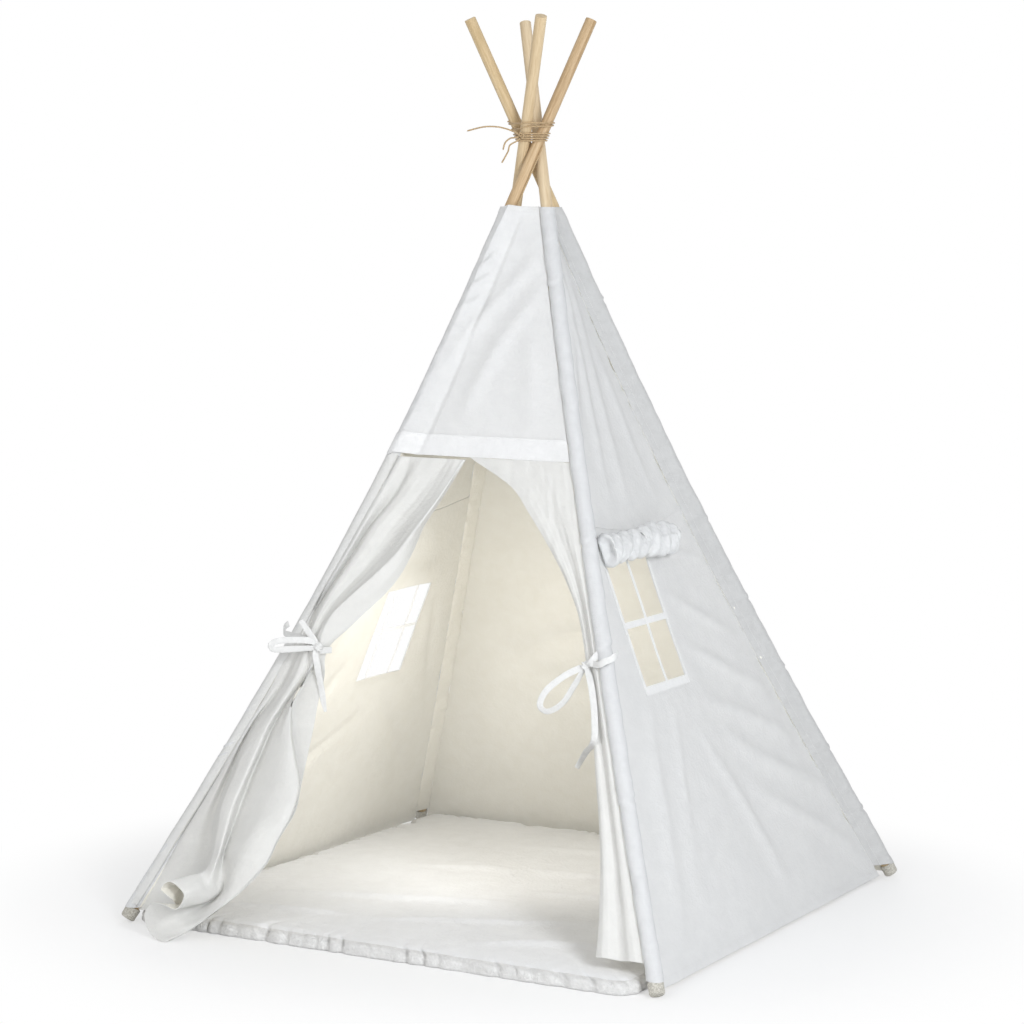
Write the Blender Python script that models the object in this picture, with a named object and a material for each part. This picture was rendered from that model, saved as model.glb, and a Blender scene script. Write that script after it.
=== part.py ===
# Kids teepee: four wooden poles crossed and lashed at the top, a cotton
# cover with a sleeve on each pole, a doorway with two tied-back flaps, two
# windows with gathered shades, and a padded floor mat.
# Metres, +Z up, front towards -Y, origin on the floor under the crossing.

import math

import bmesh
import bpy
from mathutils import Matrix, Vector

# Driving dimensions
base_width = 1.200  # between the feet of neighbouring poles
crossing_height = 1.567
pole_length = 2.070
pole_radius = 0.012
pole_end_bevel = 0.0008
sections_per_pole = 3
crossing_offset = 0.0187  # from the middle of the crossing to each pole's axis
touch_gap = 0.0003  # left between pieces that touch
# How far the taut cover bows each pole in, halfway to the crossing
pole_bow = {"front_left": 0.051, "front_right": 0.040, "back_right": 0.031, "back_left": 0.040}

ferrule_wall = 0.0010
ferrule_length = 0.070
ferrule_gap = 0.0003

cap_wall = 0.0028
cap_depth = 0.026
cap_floor = 0.006
cap_round = 0.0045

fabric = 0.0016
seam_gap = 0.0004
collar_drop = 0.112  # from the crossing down to the cover's top hem
collar_height = crossing_height - collar_drop
hem_height = 0.007
sleeve_hem_height = 0.040
sleeve_wall = 0.0012
sleeve_clearance = 0.0010  # between a ferrule and the sleeve
sleeve_depth_top = 0.0175  # from the pole's axis along the side wall to the seam
sleeve_depth_bottom = 0.045
sleeve_inset = 0.011  # from the pole's axis in to the side wall
sleeve_tail = 0.0013  # half width of the sleeve where it is sewn
seam_setback = 0.0016  # from the seam line to a side panel's edge
front_setback = 0.0154  # from the pole's axis to a front or back panel's edge
front_offset = 0.006  # of the front and back walls outside the poles' axes

header_share = 0.6286  # of the crossing's height
header_top = crossing_height * header_share
header_height = 0.036
header_bottom = header_top - header_height
header_wall = 0.0026
side_seam_share = 0.5246  # of the crossing's height
side_seam_height = crossing_height * side_seam_share
side_seam_sag = 0.020

window_width = 0.195
right_window_height = 0.262
left_window_height = 0.200
right_tape_share = 0.45  # of the window's height, from the sill to the level tape
left_tape_share = 0.53
right_upright_shares = (0.0,)  # places of the upright tapes, of half the window's width
left_upright_shares = (-0.5, 0.5)
window_border = 0.012
window_sill = 0.019
right_window_tape = 0.013
left_window_tape = 0.006
trim_wall = 0.0010
right_head_drop = 0.030  # from the side seam down to the window's head
left_head_drop = 0.169
right_sill_height = side_seam_height - side_seam_sag - right_head_drop - right_window_height
left_sill_height = side_seam_height - side_seam_sag - left_head_drop - left_window_height
right_window_shift = -0.112  # along the wall from its middle, left is negative
left_window_shift = -0.066

shade_length = 0.300
shade_height = 0.052
shade_depth = 0.036
shade_pleat = 0.004
shade_waist_share = 0.25  # how much the strap draws the roll in
shade_flat_share = 0.80  # of half its depth, from its middle to where it lies on the wall
shade_overhang = 0.014  # past the window's front edge
right_shade_drop = 0.030  # from the side seam down to the middle of the roll
left_shade_drop = 0.128
strap_width = 0.013
strap_wall = 0.0010

tie_share = 0.400  # of the doorway's height, from the header down to the flaps' waist
tie_height = header_bottom - (header_bottom - hem_height) * tie_share
tie_rise = 0.030  # from the knot up to where the outer tape is sewn
tie_width = 0.013
tie_wall = 0.0012
tail_drop = 0.085
bow_length = 0.060
bow_width = 0.016
tie_knot_turn = {"front_left": 25, "front_right": -15}  # degrees from facing the front

left_flap_out = 0.110
left_fold_depth = 0.026
right_flap_in = 0.042
right_fold_depth = 0.012

mat_clearance = 0.044  # between the mat's side and the line of the feet
mat_overhang = 0.012  # of the mat's front past the line of the feet
mat_back_gap = 0.025
mat_half_width = base_width / 2 - mat_clearance
mat_front = base_width / 2 + mat_overhang
mat_back = base_width / 2 - mat_back_gap
mat_corner = 0.045
mat_edge_height = 0.023
mat_crown = 0.036
mat_pucker = 0.0035
mat_edge_inset = 0.007

rope_radius = 0.0017
lower_turns = 4
upper_turns = 2
winding_start = 0.022  # above the crossing
turn_pitch = 0.0048
winding_step = 0.012  # the rise between the lower and the upper turns
knot_radius = 0.0075

foot_radius = base_width / math.sqrt(2)
pole_tilt = math.atan(foot_radius / crossing_height)
sleeve_inner = pole_radius + ferrule_gap + ferrule_wall + sleeve_clearance
sleeve_outer = sleeve_inner + sleeve_wall
corner_azimuths = {
    "front_left": math.radians(225),
    "front_right": math.radians(315),
    "back_right": math.radians(45),
    "back_left": math.radians(135),
}


def clear_scene():
    for item in list(bpy.data.objects):
        bpy.data.objects.remove(item, do_unlink=True)


def make_material(name, colour, roughness, metallic=0.0):
    material = bpy.data.materials.new(name)
    material.use_nodes = True
    shader = material.node_tree.nodes["Principled BSDF"]
    shader.inputs["Base Color"].default_value = (*colour, 1.0)
    shader.inputs["Roughness"].default_value = roughness
    shader.inputs["Metallic"].default_value = metallic
    return material


def outward(corner):
    azimuth = corner_azimuths[corner]
    return Vector((math.cos(azimuth), math.sin(azimuth), 0))


def sideways(corner):
    azimuth = corner_azimuths[corner]
    return Vector((-math.sin(azimuth), math.cos(azimuth), 0))


def pole_at(corner, z):
    """The pole's axis at a height: bowed in below the crossing, and straight above it."""
    share = z / crossing_height
    bow = pole_bow[corner]
    if share < 1:
        reach = foot_radius * (1 - share) - bow * math.sin(math.pi * share)
    else:
        reach = (foot_radius - bow * math.pi) * (1 - share)
    return sideways(corner) * crossing_offset + outward(corner) * reach + Vector((0, 0, z))


def pole_frame(corner, start_height, length):
    """The point and direction on a pole's axis at a length up from a height."""
    steps = max(1, math.ceil(length / (ferrule_length / 2)))
    z = start_height
    for k in range(steps):
        z += length / steps * pole_direction(corner, z).z
    return pole_at(corner, z), pole_direction(corner, z)


def pole_direction(corner, z):
    near = pole_radius / 4
    return (pole_at(corner, z + near) - pole_at(corner, z - near)).normalized()


def towards(corner, neighbour):
    """Level and square to the base, from one corner towards a neighbouring one."""
    way = outward(neighbour) - outward(corner)
    return way.normalized()


def side_neighbour(corner):
    near, far = corner.split("_")
    return f"{'back' if near == 'front' else 'front'}_{far}"


def front_neighbour(corner):
    near, far = corner.split("_")
    return f"{near}_{'left' if far == 'right' else 'right'}"


def sleeve_depth(z):
    share = (z - hem_height) / (collar_height - hem_height)
    return sleeve_depth_bottom + (sleeve_depth_top - sleeve_depth_bottom) * max(0, share) ** 6


def sleeve_seam(corner, z):
    """Where the sleeve is sewn, on the side wall beside its pole."""
    inward = towards(corner, front_neighbour(corner)) * sleeve_inset
    along = towards(corner, side_neighbour(corner)) * sleeve_depth(z)
    return pole_at(corner, z) + inward + along


class Wall:
    """One side of the cover, ruled between the sleeves of two neighbouring poles."""

    def __init__(self, start, end):
        self.start = start
        self.end = end
        self.is_side = side_neighbour(start) == end

    def edge(self, corner, neighbour, z):
        along = towards(corner, neighbour)
        if self.is_side:
            return sleeve_seam(corner, z) + along * seam_setback
        outside = -towards(corner, side_neighbour(corner)) * front_offset
        return pole_at(corner, z) + along * front_setback + outside

    def ends(self, z):
        return self.edge(self.start, self.end, z), self.edge(self.end, self.start, z)

    def at(self, share, z, out=0.0):
        first, last = self.ends(z)
        return first.lerp(last, share) + self.normal(z) * out

    def at_shift(self, shift, z, out=0.0):
        """A point by its distance along the wall from the wall's middle."""
        first, last = self.ends(z)
        along = (last - first).normalized()
        return first.lerp(last, 0.5) + along * shift + self.normal(z) * out

    def down(self, z):
        first, last = self.ends(z)
        lower_first, lower_last = self.ends(z - hem_height)
        return ((lower_first + lower_last) - (first + last)).normalized()

    def normal(self, z):
        first, last = self.ends(z)
        return self.down(z).cross(last - first).normalized()


front_wall = Wall("front_left", "front_right")
right_wall = Wall("front_right", "back_right")
back_wall = Wall("back_right", "back_left")
left_wall = Wall("back_left", "front_left")


def finish_mesh(name, mesh_data, material, smooth_angle=None):
    mesh = bpy.data.meshes.new(name)
    mesh_data.to_mesh(mesh)
    mesh_data.free()
    mesh.materials.append(material)
    if smooth_angle:
        mesh.shade_smooth()
        mesh.set_sharp_from_angle(angle=math.radians(smooth_angle))
    part = bpy.data.objects.new(name, mesh)
    bpy.context.scene.collection.objects.link(part)
    return part


def place_on(part, parent):
    """Parents a part to an empty and leaves it where it is."""
    part.parent = parent
    part.matrix_parent_inverse = parent.matrix_world.inverted()
    return part


def make_empty(name, location, direction=None):
    pivot = bpy.data.objects.new(name, None)
    pivot.empty_display_size = pole_radius
    pivot.location = location
    if direction:
        pivot.rotation_mode = "QUATERNION"
        pivot.rotation_quaternion = direction.to_track_quat("Z", "Y")
    bpy.context.scene.collection.objects.link(pivot)
    bpy.context.view_layer.update()
    return pivot


def sheet(name, rows, material, wall=fabric, skip=()):
    """A closed slab of cloth about a grid of points, with cells left out as holes."""
    height, width = len(rows), len(rows[0])
    mesh_data = bmesh.new()
    sides = []
    for side in (0.5, -0.5):
        grid = []
        for i in range(height):
            line = []
            for j in range(width):
                across = rows[i][min(j + 1, width - 1)] - rows[i][max(j - 1, 0)]
                down = rows[min(i + 1, height - 1)][j] - rows[max(i - 1, 0)][j]
                normal = down.cross(across).normalized()
                line.append(mesh_data.verts.new(rows[i][j] + normal * wall * side))
            grid.append(line)
        sides.append(grid)
    front, back = sides

    def filled(i, j):
        inside = 0 <= i < height - 1 and 0 <= j < width - 1
        return inside and (i, j) not in skip

    for i in range(height - 1):
        for j in range(width - 1):
            if not filled(i, j):
                continue
            mesh_data.faces.new((front[i][j], front[i + 1][j], front[i + 1][j + 1], front[i][j + 1]))
            mesh_data.faces.new((back[i][j], back[i][j + 1], back[i + 1][j + 1], back[i + 1][j]))
            edges = (
                (filled(i - 1, j), (i, j), (i, j + 1)),
                (filled(i + 1, j), (i + 1, j + 1), (i + 1, j)),
                (filled(i, j - 1), (i + 1, j), (i, j)),
                (filled(i, j + 1), (i, j + 1), (i + 1, j + 1)),
            )
            for covered, a, b in edges:
                if not covered:
                    corners = (front[a[0]][a[1]], front[b[0]][b[1]], back[b[0]][b[1]], back[a[0]][a[1]])
                    mesh_data.faces.new(corners)
    loose = [vertex for vertex in mesh_data.verts if not vertex.link_faces]
    bmesh.ops.delete(mesh_data, geom=loose, context="VERTS")
    bmesh.ops.recalc_face_normals(mesh_data, faces=mesh_data.faces)
    return finish_mesh(name, mesh_data, material, smooth_angle=40)


def turned(name, profile, place, material, segments=16):
    """A profile of (radius, height) points turned about the axis that place(height) gives."""
    mesh_data = bmesh.new()
    rings = []
    for radius, height in profile:
        centre, direction = place(height)
        frame = Matrix.Translation(centre) @ direction.to_track_quat("Z", "Y").to_matrix().to_4x4()
        if radius == 0:
            rings.append([mesh_data.verts.new(centre)])
            continue
        ring = []
        for k in range(segments):
            angle = math.tau * k / segments
            point = Vector((radius * math.cos(angle), radius * math.sin(angle), 0))
            ring.append(mesh_data.verts.new(frame @ point))
        rings.append(ring)
    pairs = list(zip(rings, rings[1:]))
    if profile[0][0] > 0:
        pairs.append((rings[-1], rings[0]))
    for lower, upper in pairs:
        for k in range(segments):
            n = (k + 1) % segments
            if len(lower) == 1:
                mesh_data.faces.new((lower[0], upper[n], upper[k]))
            elif len(upper) == 1:
                mesh_data.faces.new((lower[k], lower[n], upper[0]))
            else:
                mesh_data.faces.new((lower[k], lower[n], upper[n], upper[k]))
    bmesh.ops.recalc_face_normals(mesh_data, faces=mesh_data.faces)
    return finish_mesh(name, mesh_data, material, smooth_angle=50)


def smooth_route(points, per_span):
    """A smooth curve through hand-chosen points."""
    route = []
    for i in range(len(points) - 1):
        before = points[max(i - 1, 0)]
        a, b = points[i], points[i + 1]
        after = points[min(i + 2, len(points) - 1)]
        for k in range(per_span):
            t = k / per_span
            route.append(
                0.5
                * (
                    2 * a
                    + (b - before) * t
                    + (2 * before - 5 * a + 4 * b - after) * t**2
                    + (3 * a - 3 * b + after - before) * t**3
                )
            )
    route.append(points[-1])
    return route


def tube(name, points, radius, material, resolution=2):
    curve = bpy.data.curves.new(name, "CURVE")
    curve.dimensions = "3D"
    curve.bevel_depth = radius
    curve.bevel_resolution = resolution
    curve.use_fill_caps = True
    spline = curve.splines.new("POLY")
    spline.points.add(len(points) - 1)
    for k, point in enumerate(points):
        spline.points[k].co = (*point, 1)
    curve.materials.append(material)
    part = bpy.data.objects.new(name, curve)
    bpy.context.scene.collection.objects.link(part)
    return part


def ribbon(name, points, flats, width, wall, material):
    """A flat tape along a route; flats gives the direction of its width at each point."""
    mesh_data = bmesh.new()
    rings = []
    for k, point in enumerate(points):
        along = points[min(k + 1, len(points) - 1)] - points[max(k - 1, 0)]
        along.normalize()
        flat = (flats[k] - along * flats[k].dot(along)).normalized()
        thick = along.cross(flat)
        ring = []
        for a, b in ((0.5, 0.5), (-0.5, 0.5), (-0.5, -0.5), (0.5, -0.5)):
            ring.append(mesh_data.verts.new(point + flat * width * a + thick * wall * b))
        rings.append(ring)
    for first, second in zip(rings, rings[1:]):
        for k in range(4):
            n = (k + 1) % 4
            mesh_data.faces.new((first[k], first[n], second[n], second[k]))
    mesh_data.faces.new(rings[0])
    mesh_data.faces.new(list(reversed(rings[-1])))
    bmesh.ops.recalc_face_normals(mesh_data, faces=mesh_data.faces)
    return finish_mesh(name, mesh_data, material, smooth_angle=40)


# Poles


def cap_outer_radius():
    return pole_radius + touch_gap + cap_wall


def cap_end_height(corner):
    """The height of a cap's end, so that its lowest rounded rim touches the floor."""
    direction = pole_direction(corner, cap_floor)
    lean = math.acos(direction.z)
    rim = cap_outer_radius() - cap_round
    return rim * math.sin(lean) + cap_round * (1 - math.cos(lean))


def build_pole(corner, wood, metal, felt):
    cap_start = cap_end_height(corner)
    pole_start = cap_floor + touch_gap
    pivot = make_empty(f"pole_{corner}_pivot", pole_at(corner, crossing_height), sideways(corner))
    parts = []
    section = (pole_length - touch_gap * (sections_per_pole - 1)) / sections_per_pole
    bevel = pole_end_bevel

    def placed_from(start):
        return lambda height: pole_frame(corner, cap_start, start + height)

    for k, place in enumerate(("lower", "middle", "upper")):
        profile = [(0, 0), (pole_radius - bevel, 0), (pole_radius, bevel)]
        bends = 4 if place == "upper" else 8
        for step in range(1, bends):
            profile.append((pole_radius, section * step / bends))
        profile += [(pole_radius, section - bevel), (pole_radius - bevel, section), (0, section)]
        start = pole_start + k * (section + touch_gap)
        parts.append(turned(f"pole_{corner}_{place}", profile, placed_from(start), wood))
        if k == 0:
            continue
        inner = pole_radius + ferrule_gap
        outer = inner + ferrule_wall
        profile = ((inner, 0), (outer, 0), (outer, ferrule_length), (inner, ferrule_length))
        start = start - (ferrule_length + touch_gap) / 2
        name = f"ferrule_{corner}_{('lower', 'upper')[k - 1]}"
        parts.append(turned(name, profile, placed_from(start), metal))
    outer = cap_outer_radius()
    profile = [(0, 0)]
    for step in range(3):
        angle = math.radians(90) * step / 2
        reach = outer - cap_round + cap_round * math.sin(angle)
        profile.append((reach, cap_round - cap_round * math.cos(angle)))
    profile += [
        (outer, cap_depth),
        (pole_radius + touch_gap, cap_depth),
        (pole_radius + touch_gap, cap_floor),
        (0, cap_floor),
    ]
    parts.append(turned(f"foot_cap_{corner}", profile, placed_from(0), felt))
    for part in parts:
        place_on(part, pivot)
    return pivot


def build_sleeve(corner, pivot, cloth):
    """The cover's sleeve: a loop of cloth round the pole, sewn to the side wall."""
    out = outward(corner)
    arc_steps, rows = 10, 12
    mesh_data = bmesh.new()
    outer_rows, inner_rows = [], []
    for row in range(rows + 1):
        z = sleeve_hem_height + (collar_height - sleeve_hem_height) * row / rows
        centre = pole_at(corner, z)
        seam = sleeve_seam(corner, z)
        away = (centre - seam).normalized()
        aside = Vector((-away.y, away.x, 0))
        stretch = 1 / pole_direction(corner, z).z - 1
        for radius, tail, inset, kept in (
            (sleeve_outer, sleeve_tail, 0, outer_rows),
            (sleeve_inner, sleeve_tail / 4, sleeve_wall * 2, inner_rows),
        ):
            loop = []
            reach = (centre - seam).length - inset
            half_angle = math.pi - math.acos(radius / reach)
            for k in range(arc_steps + 1):
                angle = half_angle * (2 * k / arc_steps - 1)
                way = away * math.cos(angle) + aside * math.sin(angle)
                way += out * way.dot(out) * stretch
                loop.append(mesh_data.verts.new(centre + way * radius))
            end = seam + away * inset
            loop.append(mesh_data.verts.new(end + aside * tail))
            loop.append(mesh_data.verts.new(end - aside * tail))
            kept.append(loop)
    count = arc_steps + 3
    for k in range(count):
        n = (k + 1) % count
        for low, high in zip(outer_rows, outer_rows[1:]):
            mesh_data.faces.new((low[k], low[n], high[n], high[k]))
        for low, high in zip(inner_rows, inner_rows[1:]):
            mesh_data.faces.new((low[n], low[k], high[k], high[n]))
        for row in (0, -1):
            outer, inner = outer_rows[row], inner_rows[row]
            mesh_data.faces.new((inner[k], inner[n], outer[n], outer[k]))
    bmesh.ops.recalc_face_normals(mesh_data, faces=mesh_data.faces)
    return place_on(finish_mesh(f"sleeve_{corner}", mesh_data, cloth, smooth_angle=50), pivot)


# Wall panels


def panel_rows(wall, top_at, bottom_at, row_count, shares):
    """Points of a panel from its top line to its bottom line, at shares across the wall."""
    rows = []
    for i in range(row_count + 1):
        line = []
        for share in shares:
            top, bottom = top_at(share), bottom_at(share)
            line.append(wall.at(share, top + (bottom - top) * i / row_count))
        rows.append(line)
    return rows


def even_shares(count):
    return [k / count for k in range(count + 1)]


def side_seam(share):
    return side_seam_height - side_seam_sag * math.sin(math.pi * share)


def level(height):
    return lambda share: height


def window_columns(wall, shift, z):
    """Places across a wall at a height: even steps up to, across and past the window."""
    first, last = wall.ends(z)
    half = (last - first).length / 2
    marks = (-half, shift - window_width / 2, shift + window_width / 2, half)
    columns = [-half]
    for near, far, count in zip(marks, marks[1:], (3, 3, 4)):
        for k in range(1, count + 1):
            columns.append(near + (far - near) * k / count)
    return columns


def seam_shares(wall, shift):
    columns = window_columns(wall, shift, side_seam_height)
    return [(across - columns[0]) / (columns[-1] - columns[0]) for across in columns]


window_rows = 3  # rows of the mesh from a window's head to its sill


def window_panel(name, wall, shift, sill, tall, cloth):
    """A lower side panel with its window hole; the hole's sides run straight up."""
    head = sill + tall
    shares = seam_shares(wall, shift)
    rows = [[wall.at(share, side_seam(share) - seam_gap) for share in shares]]
    seam_rows, hem_rows = 2, 3
    for i in range(1, seam_rows + window_rows + hem_rows + 1):
        line = []
        for j, share in enumerate(shares):
            if i <= seam_rows:
                top = side_seam(share) - seam_gap
                z = top + (head - top) * i / seam_rows
            elif i <= seam_rows + window_rows:
                z = head + (sill - head) * (i - seam_rows) / window_rows
            else:
                z = sill + (hem_height - sill) * (i - seam_rows - window_rows) / hem_rows
            line.append(wall.at_shift(window_columns(wall, shift, z)[j], z))
        rows.append(line)
    hole = set()
    for i in range(seam_rows, seam_rows + window_rows):
        for j in range(3, 6):
            hole.add((i, j))
    return sheet(name, rows, cloth, skip=hole)


def window_trim(side, wall, shift, sill, tall, tape_share, upright_shares, tape_width, cloth):
    """A sewn border round the window and the tapes that cross in it."""
    out = fabric / 2 + touch_gap + trim_wall / 2
    marks = (
        -window_width / 2 - window_border,
        -window_width / 2,
        window_width / 2,
        window_width / 2 + window_border,
    )
    heights = [sill + tall + window_border / 3]
    for k in range(window_rows + 1):
        heights.append(sill + tall * (1 - k / window_rows))
    heights.append(sill - window_sill)
    rows = []
    for z in heights:
        rows.append([wall.at_shift(shift + mark, z, out) for mark in marks])
    hole = {(1 + k, 1) for k in range(window_rows)}
    sheet(f"window_border_{side}", rows, cloth, wall=trim_wall, skip=hole)
    inset = touch_gap * 2
    upright = out + trim_wall + touch_gap
    for number, share in enumerate(upright_shares):
        place = shift + window_width / 2 * share
        rows = []
        for z in heights[1:-1] + [sill - window_sill / 2]:
            edges = (place - tape_width / 2, place + tape_width / 2)
            rows.append([wall.at_shift(edge, z, upright) for edge in edges])
        sheet(f"window_tape_upright_{side}" + "_front" * number, rows, cloth, wall=trim_wall)
    middle = sill + tall * tape_share
    rows = []
    for z in (middle + tape_width / 2, middle - tape_width / 2):
        edges = (-window_width / 2 + inset, window_width / 2 - inset)
        rows.append([wall.at_shift(shift + edge, z, out) for edge in edges])
    sheet(f"window_tape_level_{side}", rows, cloth, wall=trim_wall)


def build_shade(side, wall, shift, drop, cloth, tape):
    """A shade gathered up into a pleated roll under the side seam, held by a strap."""
    flat = shade_depth / 2 * shade_flat_share
    centre_out = fabric / 2 + trim_wall * 2 + touch_gap * 3 + flat
    middle_z = side_seam_height - side_seam_sag - drop
    start = shift - window_width / 2 - shade_overhang
    length_steps, round_steps = 21, 10
    down = wall.down(middle_z)
    normal = wall.normal(middle_z)
    mesh_data = bmesh.new()
    rings = []
    for i in range(length_steps + 1):
        along = i / length_steps
        centre = wall.at_shift(start + shade_length * along, middle_z, centre_out)
        ring = []
        for k in range(round_steps):
            angle = math.tau * k / round_steps
            pleat = shade_pleat * math.sin(math.tau * 7 * along + 2 * angle)
            swell = 1 - shade_waist_share * math.exp(-(((along - 0.55) / 0.09) ** 2))
            reach_out = max(-flat, (shade_depth / 2 * swell + pleat) * math.cos(angle))
            reach_down = (shade_height / 2 * swell + pleat) * math.sin(angle)
            ring.append(mesh_data.verts.new(centre + normal * reach_out + down * reach_down))
        rings.append(ring)
    for first, second in zip(rings, rings[1:]):
        for k in range(round_steps):
            n = (k + 1) % round_steps
            mesh_data.faces.new((first[k], first[n], second[n], second[k]))
    mesh_data.faces.new(rings[0])
    mesh_data.faces.new(list(reversed(rings[-1])))
    bmesh.ops.recalc_face_normals(mesh_data, faces=mesh_data.faces)
    roll = finish_mesh(f"window_shade_{side}", mesh_data, cloth, smooth_angle=50)
    centre = wall.at_shift(start + shade_length * 0.55, middle_z, centre_out)
    along_wall = (wall.at_shift(start + shade_length, middle_z) - wall.at_shift(start, middle_z)).normalized()
    points, flats = [], []
    for k in range(15):
        angle = math.radians(-125) + math.radians(250) * k / 14
        around = shade_pleat + strap_wall / 2 + touch_gap * 3
        reach = normal * (shade_depth / 2 * (1 - shade_waist_share) + around) * math.cos(angle)
        reach += down * (shade_height / 2 * (1 - shade_waist_share) + around) * math.sin(angle)
        points.append(centre + reach + along_wall * shade_pleat * math.sin(angle))
        flats.append(along_wall)
    strap = ribbon(f"shade_strap_{side}", points, flats, strap_width, strap_wall, tape)
    return roll, strap


# Door flaps: each row gives, from the header down, the height where it meets
# the corner seam, the height and place across of its free edge, how far the
# edge stands out and how deep its folds are. Heights are shares of the
# doorway's height, places are shares of half the wall's width.
left_flap_shares = (
    (0.000, 0.000, 0.820, 0.00, 0.00),
    (0.070, 0.070, 0.750, 0.03, 0.15),
    (0.134, 0.134, 0.682, 0.06, 0.28),
    (0.215, 0.220, 0.555, 0.09, 0.38),
    (0.290, 0.307, 0.412, 0.11, 0.42),
    (0.345, 0.360, 0.290, 0.12, 0.40),
    (0.385, 0.400, 0.180, 0.13, 0.36),
    (0.440, 0.442, 0.165, 0.15, 0.36),
    (0.480, 0.480, 0.220, 0.20, 0.45),
    (0.560, 0.565, 0.320, 0.28, 0.62),
    (0.650, 0.660, 0.400, 0.36, 0.76),
    (0.740, 0.750, 0.440, 0.46, 0.88),
    (0.825, 0.845, 0.430, 0.60, 0.96),
    (0.895, 0.920, 0.370, 0.78, 1.00),
    (0.945, 0.972, 0.300, 0.94, 0.95),
    (0.975, 1.002, 0.240, 1.10, 0.85),
)
right_flap_shares = (
    (0.000, 0.000, 1.170, 0.00, 0.00),
    (0.053, 0.053, 0.680, 0.00, 0.15),
    (0.105, 0.105, 0.480, -0.10, 0.30),
    (0.160, 0.160, 0.330, -0.30, 0.45),
    (0.220, 0.220, 0.210, -0.60, 0.60),
    (0.290, 0.290, 0.130, -0.90, 0.70),
    (0.350, 0.350, 0.110, -1.00, 0.70),
    (0.395, 0.395, 0.105, -1.00, 0.70),
    (0.435, 0.435, 0.103, -1.00, 0.70),
    (0.470, 0.470, 0.105, -0.95, 0.70),
    (0.600, 0.600, 0.115, -0.80, 0.75),
    (0.750, 0.750, 0.130, -0.60, 0.80),
    (0.870, 0.870, 0.160, -0.45, 0.80),
    (0.945, 0.945, 0.185, -0.35, 0.80),
)


def build_flap(name, from_left, shares, out, fold_depth, folds, columns, cloth):
    doorway = header_bottom - hem_height
    rows = []
    for seam_down, edge_down, reach, out_share, fold_share in shares:
        line = []
        for j in range(columns + 1):
            across = j / columns
            top = header_bottom - seam_gap
            z = top - doorway * (seam_down + (edge_down - seam_down) * across)
            share = across * reach / 2
            near_seam = min(1, across * 3)
            push = out * out_share * across**1.5
            push += fold_depth * fold_share * near_seam * math.sin(math.tau * folds * across)
            point = front_wall.at(share if from_left else 1 - share, z, push)
            line.append(point)
        rows.append(line if from_left else list(reversed(line)))
    return sheet(name, rows, cloth)


def support_point(points, angle, clearance):
    """A point of a taut line round some points, on the side that an angle faces."""
    way = Vector((math.cos(angle), math.sin(angle), 0))
    return max(points, key=lambda point: point.dot(way)) + way * clearance


def gathered_points(flap, corner, z):
    """The flap and the sleeve near a height, brought level with it."""
    near = []
    for vertex in flap.data.vertices:
        if abs(vertex.co.z - z) < tie_width * 3:
            near.append(vertex.co.copy())
    for rise in (-tie_width * 0.62, tie_width * 0.62):
        for k in range(24):
            angle = math.tau * k / 24
            reach = Vector((math.cos(angle), math.sin(angle), 0)) * sleeve_outer / math.cos(pole_tilt)
            near.append(pole_at(corner, z + rise) + reach)
        near.append(sleeve_seam(corner, z + rise))
    for point in near:
        point.z = z
    return near


def clear_of(flap, point, way):
    """The point, moved out along a way until it clears the flap's cloth near it."""
    aside = Vector((-way.y, way.x, 0))
    ahead = point.dot(way)
    for vertex in flap.data.vertices:
        apart = vertex.co - point
        if abs(apart.z) < tie_width * 6.5 and abs(apart.dot(aside)) < tie_width * 2.2:
            ahead = max(ahead, vertex.co.dot(way) + tie_wall)
    return point + way * (ahead - point.dot(way))


def evenly_spaced(points, count):
    """The same route with its points at equal distances along it."""
    lengths = [0]
    for a, b in zip(points, points[1:]):
        lengths.append(lengths[-1] + (b - a).length)
    spaced, at = [], 0
    for k in range(count):
        wanted = lengths[-1] * k / (count - 1)
        while at < len(points) - 2 and lengths[at + 1] < wanted:
            at += 1
        share = (wanted - lengths[at]) / (lengths[at + 1] - lengths[at])
        spaced.append(points[at].lerp(points[at + 1], min(1, share)))
    return spaced


def taut_tape(flap, corner, start_angle, sweep, knot_z, rise):
    """A tape lying on the sleeve and the flap, from its sewn end round to the knot."""
    taut = []
    for k in range(61):
        z = knot_z + rise * (1 - k / 60)
        near = gathered_points(flap, corner, z)
        taut.append(support_point(near, start_angle + sweep * k / 60, tie_wall / 2 + touch_gap * 2))
    spaced = evenly_spaced(taut, 15)
    return spaced[1:]


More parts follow.
